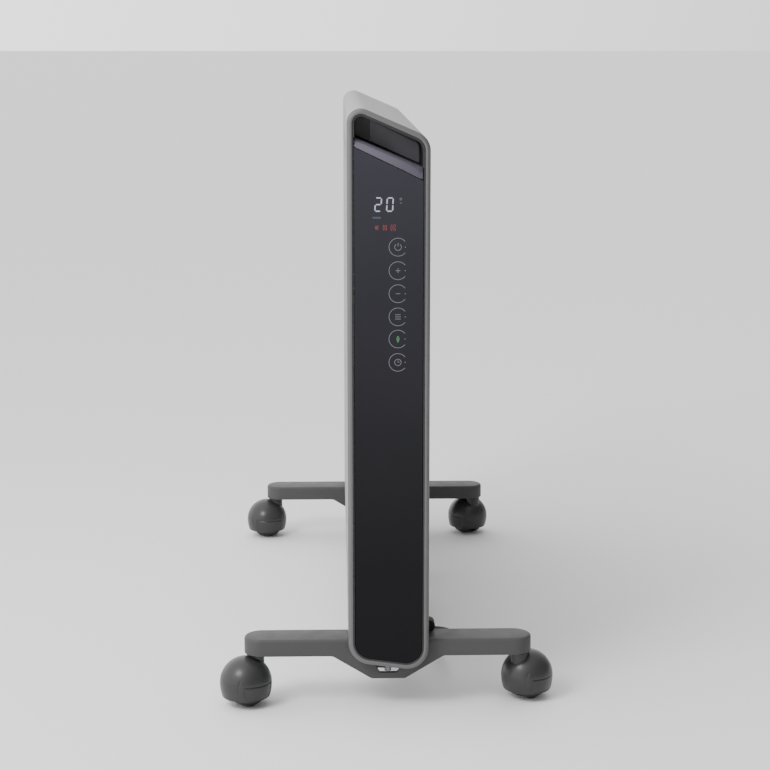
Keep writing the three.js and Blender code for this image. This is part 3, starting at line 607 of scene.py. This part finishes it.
def section_mesh(front, back):
    """A folded sheet casing round a web with its oil channel and headers."""
    fold = 0.5
    profile = [
        (0, front + 3 * fold),
        (0.06, front + 0.5 * fold),
        (0.25, front + 0.1),
        (SHEET, front),
        (2.5 * SHEET, front + 0.1),
        (2.5 * SHEET, front + 3),
        (1.5 * SHEET, front + 3.4),
        (1.5 * SHEET, back - 3.4),
        (2.5 * SHEET, back - 3),
        (2.5 * SHEET, back - 0.1),
        (SHEET, back),
        (0.25, back - 0.1),
        (0.06, back - 0.5 * fold),
        (0, back - 3 * fold),
    ]
    casing = combine(frame_ring("casing", profile), air_slots(front, back))
    middle = (front + back) / 2
    web = loft("web", [at(body_outline(SHEET), middle + s * SHEET) for s in (-1, 1)])
    low, high = HEADER_HEIGHTS
    half = [(24, 0.8), (22, 3.6), (19.5, 5.0)]
    rings = []
    for w, depth in [(w, -depth) for w, depth in half] + half[::-1]:
        corners = [complex(-w, low), complex(w, low), complex(w, high), complex(-w, high)]
        rings.append(at(rounded(corners, [w * 0.6] * 4, 6), middle + depth))
    channel = loft("channel", rings)
    headers = []
    for height in HEADER_HEIGHTS:
        ends = (0, front - 0.5, height), (0, back + 0.5, height)
        headers.append(rod("header", *ends, HEADER_RADIUS, 40, 1.5))
    return joined("section", [casing, web, channel, *headers])


def add_sections():
    """One casing for all sections, made at the second one, as the CAD places them at one pitch."""
    front, back = (corner.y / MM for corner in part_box("radiator_section_2"))
    trim = (CASING_GAP - PACK_GAP) / 2
    template = section_mesh(front + trim, back - trim)
    shade(template, 35)
    count = len([name for name in frame["nodes"] if name.startswith("radiator_section_")])
    pitch = back - front + PACK_GAP
    for i in range(count):
        name = f"radiator_section_{i + 1}"
        piece = linked(f"section_casing_{i + 1}", template.data)
        piece.location = (0, (i - 1) * pitch * MM, 0)
        place(piece, "silver_paint", "silver_paint", replaced=[name])
    bpy.data.objects.remove(template)


# ---- Ends of the body -----------------------------------


def bezel_profile(end, depth):
    """From the outer back edge over the chamfered front edge and back along the inner one."""
    way = -math.copysign(1, end)
    steps = [
        (0.15, depth),
        (0, depth - 0.2),
        (0, CHAMFER + 0.5),
        (0.12, CHAMFER + 0.05),
        (0.35, CHAMFER - 0.3),
        (CHAMFER - 0.35, 0.32),
        (CHAMFER + 0.05, 0.08),
        (CHAMFER + 0.5, 0),
        (BEZEL_WIDTH - 0.5, 0),
        (BEZEL_WIDTH - 0.15, 0.12),
        (BEZEL_WIDTH, 0.5),
        (BEZEL_WIDTH, depth),
    ]
    return [(inset, end + way * y) for inset, y in steps]


def pocket(name, end):
    """A cup that fingers reach into, with rounded inner corners and an open front."""
    way = -math.copysign(1, end)
    mouth, back = end + way * (FACE_SETBACK + 0.2), end + way * POCKET_DEPTH
    outer = clipped(body_outline(FACE_INSET + 0.05), lambda x: lip_top(x) - 1.6, True)
    inner = clipped(body_outline(POCKET_INSET), lip_top, True)
    rim = clipped(body_outline(POCKET_INSET - 0.35), lambda x: lip_top(x) - 0.3, True)
    deep = clipped(body_outline(POCKET_INSET + 1.2), lambda x: lip_top(x) + 1.0, True)
    rings = [
        at(deep, back - way * 1.6),
        at(inner, back - way * 3.2),
        at(inner, mouth + way * 0.5),
        at(rim, mouth),
        at(outer, mouth),
        at(outer, back),
    ]
    cup = loft(name, rings)
    reach = sorted((end - way * 10, end + way * (FACE_SETBACK + LIP_DEPTH + 0.1)))
    line = [complex(x, lip_top(x) + 0.1) for x in (-60, 60)] + [complex(60, 300), complex(-60, 300)]
    room = loft("lip_room", [at(line, y) for y in reach])
    return combine(cup, room)


def lip(name, end):
    """The bevelled bar under a pocket's mouth, with rounded edges and slanted ends."""
    way = -math.copysign(1, end)
    face = end + way * FACE_SETBACK
    half = HALF - POCKET_INSET
    stations = [-half, -half + 1.2, half - 2.6, half]
    rings = []
    for i, x in enumerate(stations):
        shrink = 0.8 if i in (0, len(stations) - 1) else 0
        low, high = lip_bottom(x) + shrink, lip_top(x) - shrink * 0.6
        front = face + way * shrink
        bevel, deep = face + way * LIP_BEVEL, face + way * LIP_DEPTH
        tall = high - low
        rings.append(
            [
                (x, front + way * 0.25, low),
                (x, front, low + 0.35),
                (x, front + way * 0.12, low + 0.8),
                (x, bevel - way * 0.5, low + tall - 0.45),
                (x, bevel + way * 0.2, high - 0.05),
                (x, bevel + way * 0.8, high),
                (x, deep, high),
                (x, deep, low),
            ]
        )
    return loft(name, rings, sharp=40)


def plate(name, outline, y0, y1, bevel):
    """A flat plate with a chamfered front edge at y0: the outline shrinks by bevel there."""
    way = math.copysign(1, y1 - y0)
    centre = sum(outline) / len(outline)
    width = max(abs(p.real - centre.real) for p in outline)
    height = max(abs(p.imag - centre.imag) for p in outline)
    small = [
        complex(
            centre.real + (p.real - centre.real) * (1 - bevel / width),
            centre.imag + (p.imag - centre.imag) * (1 - bevel / height),
        )
        for p in outline
    ]
    return loft(name, [at(small, y0), at(outline, y0 + way * bevel), at(outline, y1)])


def add_front():
    bezel = frame_ring("bezel", bezel_profile(FRONT, BEZEL_DEPTH))
    place(bezel, "bezel_plastic", "silver_plastic", replaced=["front_bezel"])

    face = FRONT + FACE_SETBACK
    edge = body_outline(FACE_INSET + TRIM_WIDTH + 0.15)
    outline = clipped(edge, lambda x: lip_bottom(x) - 0.4, False)
    glass = plate("glass_panel", outline, face, face + 4, 0.5)
    place(glass, "black_glass", "black_glass", replaced=["glass_fascia"])

    trim = frame_ring(
        "panel_trim",
        [
            (BEZEL_WIDTH + 0.1, face + 3),
            (BEZEL_WIDTH + 0.1, face + 0.2),
            (BEZEL_WIDTH + 0.3, face),
            (FACE_INSET + TRIM_WIDTH - 0.15, face),
            (FACE_INSET + TRIM_WIDTH, face + 0.15),
            (FACE_INSET + TRIM_WIDTH, face + 3),
        ],
    )
    place(trim, "edge_trim", "lip_plastic")

    cup = pocket("grip_pocket", FRONT)
    place(cup, "frame_plastic", "frame_plastic", replaced=["fascia_frame"])
    backing_y = FRONT + POCKET_DEPTH - 1.6
    left, right = -16.7, HALF - POCKET_INSET
    corners = [
        complex(left, lip_top(left) + 1.2),
        complex(right - 1.4, lip_top(right) + 1.2),
        complex(right - 1.4, top_line(right) - POCKET_INSET - 4),
        complex(left, top_line(left) - POCKET_INSET - 1.6),
    ]
    edge = rounded(corners, [0.8, 1.5, 8, 0.8], 6)
    backing = plate("grip_backing", edge, backing_y - 0.8, backing_y + 0.5, 0.3)
    place(backing, "pocket_plastic", "frame_plastic")

    bar = lip("grip_lip", FRONT)
    place(bar, "lip_plastic", "lip_plastic", replaced=["handle_lip"])

    back = FRONT + HOUSING_LENGTH
    start = FRONT + BEZEL_DEPTH + 0.3
    shell = frame_ring(
        "control_housing",
        [
            (0.25, start),
            (0, start + 0.25),
            (0, back - 0.4),
            (0.3, back - 0.05),
            (HOUSING_WALL, back - 0.05),
            (HOUSING_WALL, start),
        ],
    )
    place(shell, "silver_plastic", "silver_plastic", replaced=["front_housing"])


def add_rear():
    profile = bezel_profile(BACK, BEZEL_DEPTH)
    start = BACK - HOUSING_LENGTH
    inside = [(HOUSING_WALL, BACK - BEZEL_DEPTH), (HOUSING_WALL, start)]
    profile = [(0.3, start + 0.1), (0, start + 0.5), *profile[2:], *inside]
    shell = frame_ring("rear_shell", profile)
    place(shell, "silver_plastic", "silver_plastic", replaced=["rear_housing"])

    cup = pocket("rear_pocket", BACK)
    face = BACK - FACE_SETBACK
    outline = clipped(body_outline(FACE_INSET + 0.1), lambda x: lip_bottom(x) - 0.4, False)
    panel = plate("rear_plate", outline, face, face - 2.5, 0.6)
    bar = lip("rear_lip", BACK)
    cover = joined("rear_cover", [panel, bar])
    place(cover, "panel_plastic", "panel_plastic", replaced=["rear_panel"])
    place(cup, "panel_plastic", "panel_plastic", replaced=["rear_grip"])


# ---- Symbols and display --------------------------------

KEY_X = 8.4
KEY_HEIGHTS = [441.7, 420.2, 399.1, 377.8, 357.3, 335.6]
KEY_RADIUS = 8.2
STROKE = 0.55
DIGIT_WIDTH, DIGIT_HEIGHT, BAR_WIDTH = 5.4, 12.0, 1.15
DIGIT_SLANT, BAR_GAP = 0.06, 0.4
DIGIT_Z, BAR_Z, HEAT_Z = 480.3, 468.4, 459.4
HEAT_X, HEAT_PITCH = -11.0, 7.4


def ribbon(points, width):
    """A strip of that width along a line of points, as one outline."""
    sides = ([], [])
    for i, point in enumerate(points):
        way = points[min(i + 1, len(points) - 1)] - points[max(i - 1, 0)]
        across = 1j * way / abs(way) * width / 2
        sides[0].append(point + across)
        sides[1].append(point - across)
    return [(*sides[0], *reversed(sides[1]))]


def disc(centre, radius, steps):
    return [tuple(arc(centre, radius, 0, 360 - 360 / steps, steps - 1))]


def symbols(name, shapes, material):
    """Flat shapes just proud of the glass, in one piece."""
    front, back = FRONT + FACE_SETBACK - 0.06, FRONT + FACE_SETBACK + 0.1
    points, faces = [], []
    for shape in shapes:
        start, size = len(points), len(shape)
        points += at(shape, front) + at(shape, back)
        faces += loft_faces(2, size, False, start)
    place(made(name, points, faces), material, "black_glass")


def segment(a, b, width):
    """One bar of a seven-segment digit, pointed at both ends."""
    way = (b - a) / abs(b - a)
    side = 1j * way * width / 2
    tip = way * width / 2
    return (a, a + tip - side, b - tip - side, b, b - tip + side, a + tip + side)


def digit(centre, bars):
    """A slanted seven-segment digit with those bars lit."""
    half = DIGIT_HEIGHT / 2

    def at_place(x, z):
        return centre + complex(x * DIGIT_WIDTH / 2 + DIGIT_SLANT * z * half, z * half)

    ends = {
        "a": ((-1, 1), (1, 1)),
        "b": ((1, 1), (1, 0)),
        "c": ((1, 0), (1, -1)),
        "d": ((-1, -1), (1, -1)),
        "e": ((-1, 0), (-1, -1)),
        "f": ((-1, 1), (-1, 0)),
        "g": ((-1, 0), (1, 0)),
    }
    shapes = []
    for bar in bars:
        a, b = (at_place(*p) for p in ends[bar])
        trim = (b - a) / abs(b - a) * BAR_GAP
        shapes.append(segment(a + trim, b - trim, BAR_WIDTH))
    return shapes


def add_symbols():
    keys = []
    for height in KEY_HEIGHTS:
        centre = complex(KEY_X, height)
        keys += ribbon(arc(centre, KEY_RADIUS, 38, 322, 40), STROKE)
        keys += disc(centre + KEY_RADIUS - 1.6, 0.5, 10)
    power, plus, minus, mode, eco, clock = (complex(KEY_X, height) for height in KEY_HEIGHTS)
    keys += ribbon(arc(power, 3.0, 125, 415, 24), STROKE)
    keys += ribbon([power + 0.6j, power + 3.8j], STROKE)
    arm = (-2.2 - 0.3j, -0.3 - 0.3j, -0.3 - 2.2j)
    keys += [tuple(plus + point * 1j**quarter for quarter in range(4) for point in arm)]
    keys += ribbon([minus - 2, minus + 2], STROKE)
    for i in (-1, 0, 1):
        keys += ribbon([mode + complex(-2.6, 2 * i), mode + complex(2.6, 2 * i)], STROKE)
    keys += ribbon(arc(clock, 3.0, 92, 448, 30), STROKE)
    keys += ribbon([clock + 2j, clock, clock + 1.5], STROKE * 0.9)
    symbols("touch_keys", keys, "white_symbols")

    leaf = arc(eco + 2.6, 3.6, 133, 227, 12)[::-1] + arc(eco - 2.6, 3.6, -47, 47, 12)[::-1][1:]
    stalk = ribbon([eco - 3.6j, eco + 0.8j], STROKE * 0.9)
    symbols("eco_key", ribbon(leaf, STROKE) + stalk, "green_light")

    digits = digit(complex(-9.6, DIGIT_Z), "abged") + digit(complex(1.0, DIGIT_Z), "abcdef")
    symbols("display_digits", digits, "digit_light")
    degree = ribbon(arc(complex(10.9, 485.2), 0.9, 0, 350, 14), 0.45)
    degree += ribbon([complex(10.1, 481.6), complex(11.9, 481.6)], 0.45)
    symbols("degree_mark", degree, "white_symbols")

    bar = ribbon([complex(-14.8, BAR_Z), complex(-7.3, BAR_Z)], 1.5)
    symbols("status_bar", bar, "blue_light")
    heat = []
    for i, size in enumerate((3.6, 4.8, 6.0)):
        for k in (-1, 0, 1):
            x = HEAT_X + i * HEAT_PITCH + k * size * 0.3
            wave = []
            for s in range(11):
                sway = 0.35 * math.sin(3 * math.pi * s / 10)
                wave.append(complex(x + sway, HEAT_Z + size * (s / 10 - 0.5)))
            heat += ribbon(wave, STROKE)
    symbols("heat_level", heat, "red_light")


# ---- Feet -----------------------------------------------

FOOT_HALF, FOOT_DEPTH = 137.5, 35.0
FOOT_TOP, BEAM_BOTTOM, DIP = 66.4, 50.3, 28.0
FOOT_WALL, WINDOW_SILL = 4.5, 33.7
SEAT_GAP = 0.3  # between the foot and the body
CLAMP_GAP = 2.8  # between the underside of the body and the foot's well


def foot_mesh(y):
    """A round-ended beam with a V-shaped middle, cut for the body, the clamp bolt and a window."""
    radius = FOOT_DEPTH / 2
    rings = []
    rim = ((2.6, 0), (1.6, 0.25), (0.7, 0.9), (0.2, 1.8), (0, 3.0))
    for z, inset in ((DIP - 5, 0), *((FOOT_TOP - drop, inset) for drop, inset in rim)):
        ends = stadium((-FOOT_HALF + radius, y), (FOOT_HALF - radius, y), radius - inset, 24)
        rings.append([(p.real, p.imag, z) for p in ends])
    plan = loft("plan", rings)
    right = [(16, DIP), (53, BEAM_BOTTOM), (160, BEAM_BOTTOM), (160, 80)]
    lower = [complex(-x, z) for x, z in reversed(right)] + [complex(x, z) for x, z in right]
    side = rounded(lower, [1, 1, 9, 5, 5, 9, 1, 1], 5)
    foot = combine(plan, loft("side", [at(side, y + s * 30) for s in (-1, 1)]), "INTERSECT")
    seat = loft("seat", [at(body_outline(-SEAT_GAP), y + s * 40) for s in (-1, 1)])
    combine(foot, seat)
    deep = radius - FOOT_WALL
    clamp = [complex(x, underside(x) - CLAMP_GAP) for x in (-13.5, 13.5)]
    well = clamp + [complex(13.5, 0), complex(-13.5, 0)]
    combine(foot, loft("well", [at(well, y - deep), at(well, y + deep)]))
    sill = [complex(-8, WINDOW_SILL), complex(8, WINDOW_SILL)]
    head = [complex(12.0, underside(12) - CLAMP_GAP), complex(-13.2, underside(-13) - CLAMP_GAP)]
    window = rounded(sill + head, [1.0] * 4, 4)
    combine(foot, loft("window", [at(window, y + s * 25) for s in (-1, 1)]))
    combine(foot, rod("bolt_hole", (0, y, 20), (0, y, 60), 3.6))
    return foot


def wing_nut(y, z):
    """A ringed hub and two flat wings, standing on z."""
    profile = [(3.6, 0), (5.6, 0), (5.2, 4.2), (4.9, 4.5), (3.6, 4.5), (3.6, 0)]
    hub = lathe("hub", [(r, z + high) for r, high in profile], 32, (0, y))
    wing = ((4.4, 0.6), (9, 0.2), (11, 4), (7.5, 4.3), (4.4, 2.6))
    wings = []
    for side in (-1, 1):
        corners = [complex(side * out, z + high) for out, high in wing]
        outline = rounded(corners, [0.3, 1.5, 1.2, 1.2, 0.5], 4)
        wings.append(loft("wing", [at(outline, y - 0.9), at(outline, y + 0.9)]))
    return joined("nut", [hub, *wings])


def add_feet():
    for end in ("front", "rear"):
        low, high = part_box(f"{end}_foot")
        y = (low.y + high.y) / 2 * 1000
        foot = foot_mesh(y)
        foot.name = f"{end}_cross_foot"
        shade(foot, 30)
        place(foot, "foot_paint", "foot_paint", replaced=[f"{end}_foot"])

        nut = wing_nut(y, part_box(f"{end}_foot_nut")[0].z * 1000)
        nut.name = f"{end}_wing_nut"
        shade(nut)
        place(nut, "zinc_steel", "zinc_steel", replaced=[f"{end}_foot_nut"])

        low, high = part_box(f"{end}_foot_bolt")
        bottom, top = low.z * 1000, high.z * 1000
        profile = [(0, bottom), (2.7, bottom), (3.3, bottom + 0.6)]
        thread = bottom + 0.9
        while thread < top - 6:
            profile += [(3.3, thread), (2.85, thread + 0.5), (3.3, thread + 1.0)]
            thread += 1.0
        profile += [(3.3, top - 3.2), (7, top - 3), (7, top - 0.6), (6.4, top), (0, top)]
        bolt = lathe(f"{end}_clamp_bolt", profile, 32, (0, y), 50)
        place(bolt, "zinc_steel", "zinc_steel", replaced=[f"{end}_foot_bolt"])


# ---- Castors --------------------------------------------

HOOD_RADIUS, HOOD_CENTRE = 25.0, 22.5
RIM_HEIGHT, RIM_RADIUS = 9.0, 22.8
HOOD_WALL = 1.8
WHEEL_RADIUS = 19.5
SEAM_RISE = 4.5  # of the seam above the axle
HOOD_SIDES, HOOD_UPPER, HOOD_LOWER = 224, 60, 40  # steps round it, over its dome and below it
NECK_PROFILE = [
    *((0, 36), (8.5, 36), (8.5, 47.4), (8.1, 47.7), (8.1, 48.3)),
    *((8.5, 48.6), (8.5, 49.6), (8.1, 50), (0, 50)),
]


def dome_radius(height):
    part = (HOOD_CENTRE - height) / (HOOD_CENTRE - RIM_HEIGHT)
    return HOOD_RADIUS - (HOOD_RADIUS - RIM_RADIUS) * part**2


def smooth(value, start, end):
    """From 0 at start to 1 at end, level at both."""
    t = max(0.0, min(1.0, (value - start) / (end - start)))
    return t * t * (3 - 2 * t)


def relief(x, y, z):
    """How far the hood's face lies under its dome: a groove about the axle, a recess below it."""
    high = z - WHEEL_RADIUS
    distance = max(1e-6, math.sqrt(x * x + y * y + high * high))
    away = math.degrees(math.acos(min(1, abs(y) / distance)))
    groove = 0.45 * math.exp(-(((away - 52) / 1.6) ** 2))
    groove *= smooth(high, -4, 2) * (1 - smooth(high, 8, 14))
    inside = 1 - smooth(away, 38.0, 40.0)
    below = 1 - smooth(high, SEAM_RISE - 0.5, SEAM_RISE + 0.3)
    seam = 0.75 * math.exp(-(((high - SEAM_RISE) / 0.6) ** 2)) * (1 - smooth(away, 38.0, 40.5))
    return groove + 0.6 * inside * below + seam


def hood_mesh(trail):
    """The hood with its inner web, and the neck, both about a stem at the origin."""
    outer = []
    for i in range(1, HOOD_UPPER):
        tilt = math.pi / 2 * i / HOOD_UPPER
        outer.append((HOOD_RADIUS * math.sin(tilt), HOOD_CENTRE + HOOD_RADIUS * math.cos(tilt)))
    step = (HOOD_CENTRE - RIM_HEIGHT - 1.2) / HOOD_LOWER
    for i in range(HOOD_LOWER + 1):
        outer.append((dome_radius(HOOD_CENTRE - step * i), HOOD_CENTRE - step * i))
    turns = [2 * math.pi * i / HOOD_SIDES for i in range(HOOD_SIDES)]
    rings = []
    for r, z in outer:
        ring = []
        for t in turns:
            x, y = r * math.cos(t), r * math.sin(t)
            share = 1 - relief(x, y, z) / HOOD_RADIUS
            height = HOOD_CENTRE + (z - HOOD_CENTRE) * share
            ring.append((trail + r * share * math.cos(t), r * share * math.sin(t), height))
        rings.append(ring)
    last = outer[-1][0]
    lip = ((0.25, 0.55), (0.75, 0.12), (1.2, 0))
    edge = [(last - back, RIM_HEIGHT + rise) for back, rise in lip]
    inner = [(dome_radius(h) - HOOD_WALL, h) for h in (RIM_HEIGHT, 12, 15, 19, HOOD_CENTRE)]
    hollow = HOOD_RADIUS - HOOD_WALL
    for tilt in map(math.radians, (80, 70, 60, 50, 40, 30, 20, 10, 3)):
        inner.append((hollow * math.sin(tilt), HOOD_CENTRE + hollow * math.cos(tilt)))
    for r, z in edge + inner:
        rings.append([(trail + r * math.cos(t), r * math.sin(t), z) for t in turns])
    shell = loft("shell", rings, sharp=60)
    neck = lathe("neck", NECK_PROFILE)
    web = block("web", (trail - 12, trail + 12), (-1, 1), (12, 44))
    return joined("hood", [shell, web]), neck


def wheel_mesh(trail, side):
    """Half of the twin wheel: a tread with rounded edges and a domed outer face."""
    profile = [
        *((0, 1.4), (18.9, 1.4), (19.5, 2.0), (19.5, 4.9), (19.2, 5.1), (19.2, 5.7), (19.5, 5.9)),
        *((19.5, 9.0), (19.1, 9.8), (15.8, 14.6), (14.8, 15), (12, 15), (11.4, 14.4), (5, 14.4)),
        *((4.4, 15), (0, 15)),
    ]
    turns = [2 * math.pi * i / 64 for i in range(64)]
    rings = []
    for r, out in profile:
        spokes = [(r * math.cos(t), r * math.sin(t)) for t in turns]
        rings.append([(trail + x, side * out, WHEEL_RADIUS + z) for x, z in spokes])
    return loft("wheel", rings, sharp=35)


def turned_copy(name, template, turn):
    """A copy of the template with the turn worked into its mesh, so that its box is a close one."""
    mesh = template.data.copy()
    mesh.transform(turn)
    return linked(name, mesh)


def add_castors():
    joints = {joint["name"]: joint for joint in frame["joints"]}
    ends = [name[: -len("_swivel")] for name in joints if name.endswith("_swivel")]
    first = joints[f"{ends[0]}_swivel"]["pos_m"], joints[f"{ends[0]}_spin_a"]["pos_m"]
    trail = math.dist(first[0][:2], first[1][:2]) * 1000
    hood, neck = hood_mesh(trail)
    shade(hood, 50)
    wheels = {"a": wheel_mesh(trail, -1), "b": wheel_mesh(trail, 1)}
    for end in ends:
        stem = Vector(joints[f"{end}_swivel"]["pos_m"])
        spin = Vector(joints[f"{end}_spin_a"]["pos_m"])
        heading = math.atan2(spin.y - stem.y, spin.x - stem.x)
        turn = Matrix.Translation((stem.x, stem.y, 0)) @ Matrix.Rotation(heading, 4, "Z")
        cover = turned_copy(f"{end}_castor_hood", hood, turn)
        place(cover, "castor_plastic", "castor_plastic", f"{end}_castor", [f"{end}_hood"])
        collar = turned_copy(f"{end}_castor_neck", neck, turn)
        place(collar, "neck_plastic", "castor_plastic", f"{end}_castor")
        for letter, wheel in wheels.items():
            tyre = turned_copy(f"{end}_tyre_{letter}", wheel, turn)
            node = f"{end}_wheel_{letter}"
            place(tyre, "wheel_plastic", "wheel_plastic", node, [node])
    for template in (hood, neck, *wheels.values()):
        bpy.data.objects.remove(template)


# ---- Mains lead -----------------------------------------


def through(points, steps):
    """A smooth line through chosen points."""
    points = [Vector(p) for p in points]
    ends = [2 * points[0] - points[1], *points, 2 * points[-1] - points[-2]]
    line = []
    for a, b, c, d in zip(ends, ends[1:], ends[2:], ends[3:]):
        for k in range(steps):
            t = k / steps
            square, cube = 2 * a - 5 * b + 4 * c - d, 3 * b - a - 3 * c + d
            line.append(0.5 * (2 * b + (c - a) * t + square * t**2 + cube * t**3))
    return [*line, points[-1]]


def coil_turns():
    """Turns in two columns and three layers, with each move a sixth of a turn before the last."""
    points = []
    for degrees in range(0, COIL_TURNS * 360 + 1, COIL_STEP):
        index, share = 0, 0.0
        for i in range(len(COIL_SLOTS) - 1):
            start = 300 + 300 * i
            if degrees >= start:
                index, share = i, smooth(degrees, start, start + 60)
        (r0, z0), (r1, z1) = COIL_SLOTS[index], COIL_SLOTS[min(index + 1, len(COIL_SLOTS) - 1)]
        r, z = r0 + (r1 - r0) * share, z0 + (z1 - z0) * share
        t = math.radians(degrees)
        x, y = COIL_CENTRE
        points.append(Vector((x + r * math.cos(t), y + r * math.sin(t), z)))
    return points


def add_cord():
    lead = through([*CORD_ROUTE, (46.5, -52, 3.5)], 3)
    tail = through([(46.5, -28, 9.9), *TAIL_ROUTE], 3)
    line = lead + coil_turns() + tail
    curve = bpy.data.curves.new("mains_lead", "CURVE")
    curve.dimensions = "3D"
    curve.bevel_depth = CORD_RADIUS * MM
    curve.bevel_resolution = 4
    curve.use_fill_caps = True
    spline = curve.splines.new("POLY")
    spline.points.add(len(line) - 1)
    for point, p in zip(spline.points, line):
        point.co = (p.x * MM, p.y * MM, p.z * MM, 1)
    spline.use_smooth = True
    cord = linked("mains_lead", curve)
    place(cord, "cord_rubber", "cord_rubber", replaced=["power_cord", "cord_coil", "cord_tail"])
    pieces = [add_gland(), add_plug(), add_tie()]
    pieces += [frame["nodes"][f"plug_pin_{pin}"] for pin in ("live", "neutral", "earth")]


def swept(name, centres, radii, sides=32):
    """Rings of changing radius along a line, each square to it."""
    rings = []
    for i, centre in enumerate(centres):
        way = centres[min(i + 1, len(centres) - 1)] - centres[max(i - 1, 0)]
        turn = way.to_track_quat("Z", "Y")
        ring = []
        for k in range(sides):
            t = 2 * math.pi * k / sides
            spoke = Vector((radii[i] * math.cos(t), radii[i] * math.sin(t), 0))
            ring.append(tuple(centre + turn @ spoke))
        rings.append(ring)
    return loft(name, rings, sharp=50)


def ribbed(start, end, count, steps=6):
    """Radii that taper from start to end with count shallow grooves."""
    radii = []
    for i in range(count * steps + 1):
        share = i / (count * steps)
        groove = 0.55 if i % steps in (3, 4) else 0.0
        radii.append(start + (end - start) * share - groove)
    return radii


def add_gland():
    """A flanged gland in the housing's side, with a ribbed strain relief that bends down."""
    relief_line = [(40.0, -312, 73.2), (40.4, -298, 72.7), (41.2, -290, 70.1), (42, -280.9, 64.9)]
    radii = ribbed(5.5, 4.5, 7)
    centres = through(relief_line, 14)[: len(radii)]
    centres = [centres[int(i * (len(centres) - 1) / (len(radii) - 1))] for i in range(len(radii))]
    boot = swept("boot", centres, radii)
    long, high = 41.5, 16.5
    middle = complex(-301.75, 71.75)
    signs = ((-1, -1), (1, -1), (1, 1), (-1, 1))
    outline = rounded([middle + complex(a * long, b * high) / 2 for a, b in signs], [3] * 4, 6)
    rings = []
    for x, shrink in ((35.6, 0), (38.6, 0), (39.4, 0.35), (39.7, 1.0)):
        ring = [middle + (p - middle) * (1 - 2 * shrink / high) for p in outline]
        rings.append([(x, p.real, p.imag) for p in ring])
    gland = joined("lead_gland", [loft("flange", rings), boot])
    shade(gland, 45)
    return place(gland, "cord_rubber", "cord_rubber", replaced=["cord_gland"])


def add_plug():
    """A moulded three-pin plug with finger hollows, and a ribbed relief."""
    low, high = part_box("plug_body")
    x, tip = (low.x + high.x) * 500, high.y * 1000
    start = low.y * 1000
    z = 13.5
    face = start + 22
    radii = ribbed(4.6, 6.8, 5)
    centres = [Vector((x, start + 24 * i / (len(radii) - 1), z)) for i in range(len(radii))]
    relief_part = swept("relief", centres, radii)
    rings = []
    stations = [
        (face, 7.5, 7.5),
        (face + 0.8, 8.6, 8.6),
        (face + 4, 11.5, 10.5),
        (face + 9, 15.6, 12.2),
        (face + 14, 17.2, 13.0),
        (face + 20, 16.6, 12.6),
        (face + 27, 17.2, 13.0),
        (tip - 3.2, 18, 13.5),
        (tip - 0.9, 18, 13.5),
        (tip - 0.2, 17.6, 13.1),
        (tip, 16.9, 12.4),
    ]
    for y, wide, tall in stations:
        ring = []
        for k in range(48):
            t = 2 * math.pi * k / 48
            across = math.copysign(abs(math.cos(t)) ** 0.5, math.cos(t)) * wide
            up = math.copysign(abs(math.sin(t)) ** 0.5, math.sin(t)) * tall
            ring.append((x + across, y, max(0.0, z + up)))
        rings.append(ring)
    plug = joined("mains_plug", [relief_part, loft("plug", rings, sharp=50)])
    shade(plug, 45)
    return place(plug, "cord_rubber", "cord_rubber", replaced=["plug_body"])


def add_tie():
    """A strap round the coil's turns, with its free end laid over."""
    cx, cy = COIL_CENTRE
    left, right, top = -41.9, -27.1, 21.4
    hoops = []
    for wall, low, radius in ((0, 0, 3), (0.8, 0.6, 2.4)):
        x0, x1, high = left + wall, right - wall, top - wall
        corners = [complex(x0, low), complex(x1, low), complex(x1, high), complex(x0, high)]
        hoops.append(rounded(corners, [radius] * 4, 6))
    outer, inner = hoops
    rings = []
    for hoop, y in ((outer, -5), (outer, 5), (inner, 5), (inner, -5)):
        rings.append([(cx + p.real, cy + y, p.imag) for p in hoop])
    tie = loft("coil_tie", rings, True)
    return place(tie, "cord_tie", "cord_rubber")


# ---- Carried-over CAD nodes -----------------------------


def finish_nodes():
    """Every CAD node that still shows gets its material and softened edges."""
    slots = {row["node"]: row["material_slot"] for row in frame["record"]["subparts"]}
    for name, node in frame["nodes"].items():
        if node.hide_render:
            continue
        slot = slots[name]
        node.data.materials.clear()
        node.data.materials.append(materials[slot])
        weld = node.modifiers.new("weld", "WELD")
        weld.merge_threshold = 0.00001
        soften(node, 0.25, 2, 35)


add_camera()
materials = make_materials()
add_studio()
add_cord()
add_sections()
add_front()
add_rear()
add_symbols()
add_feet()
add_castors()
finish_nodes()

bpy.context.view_layer.update()
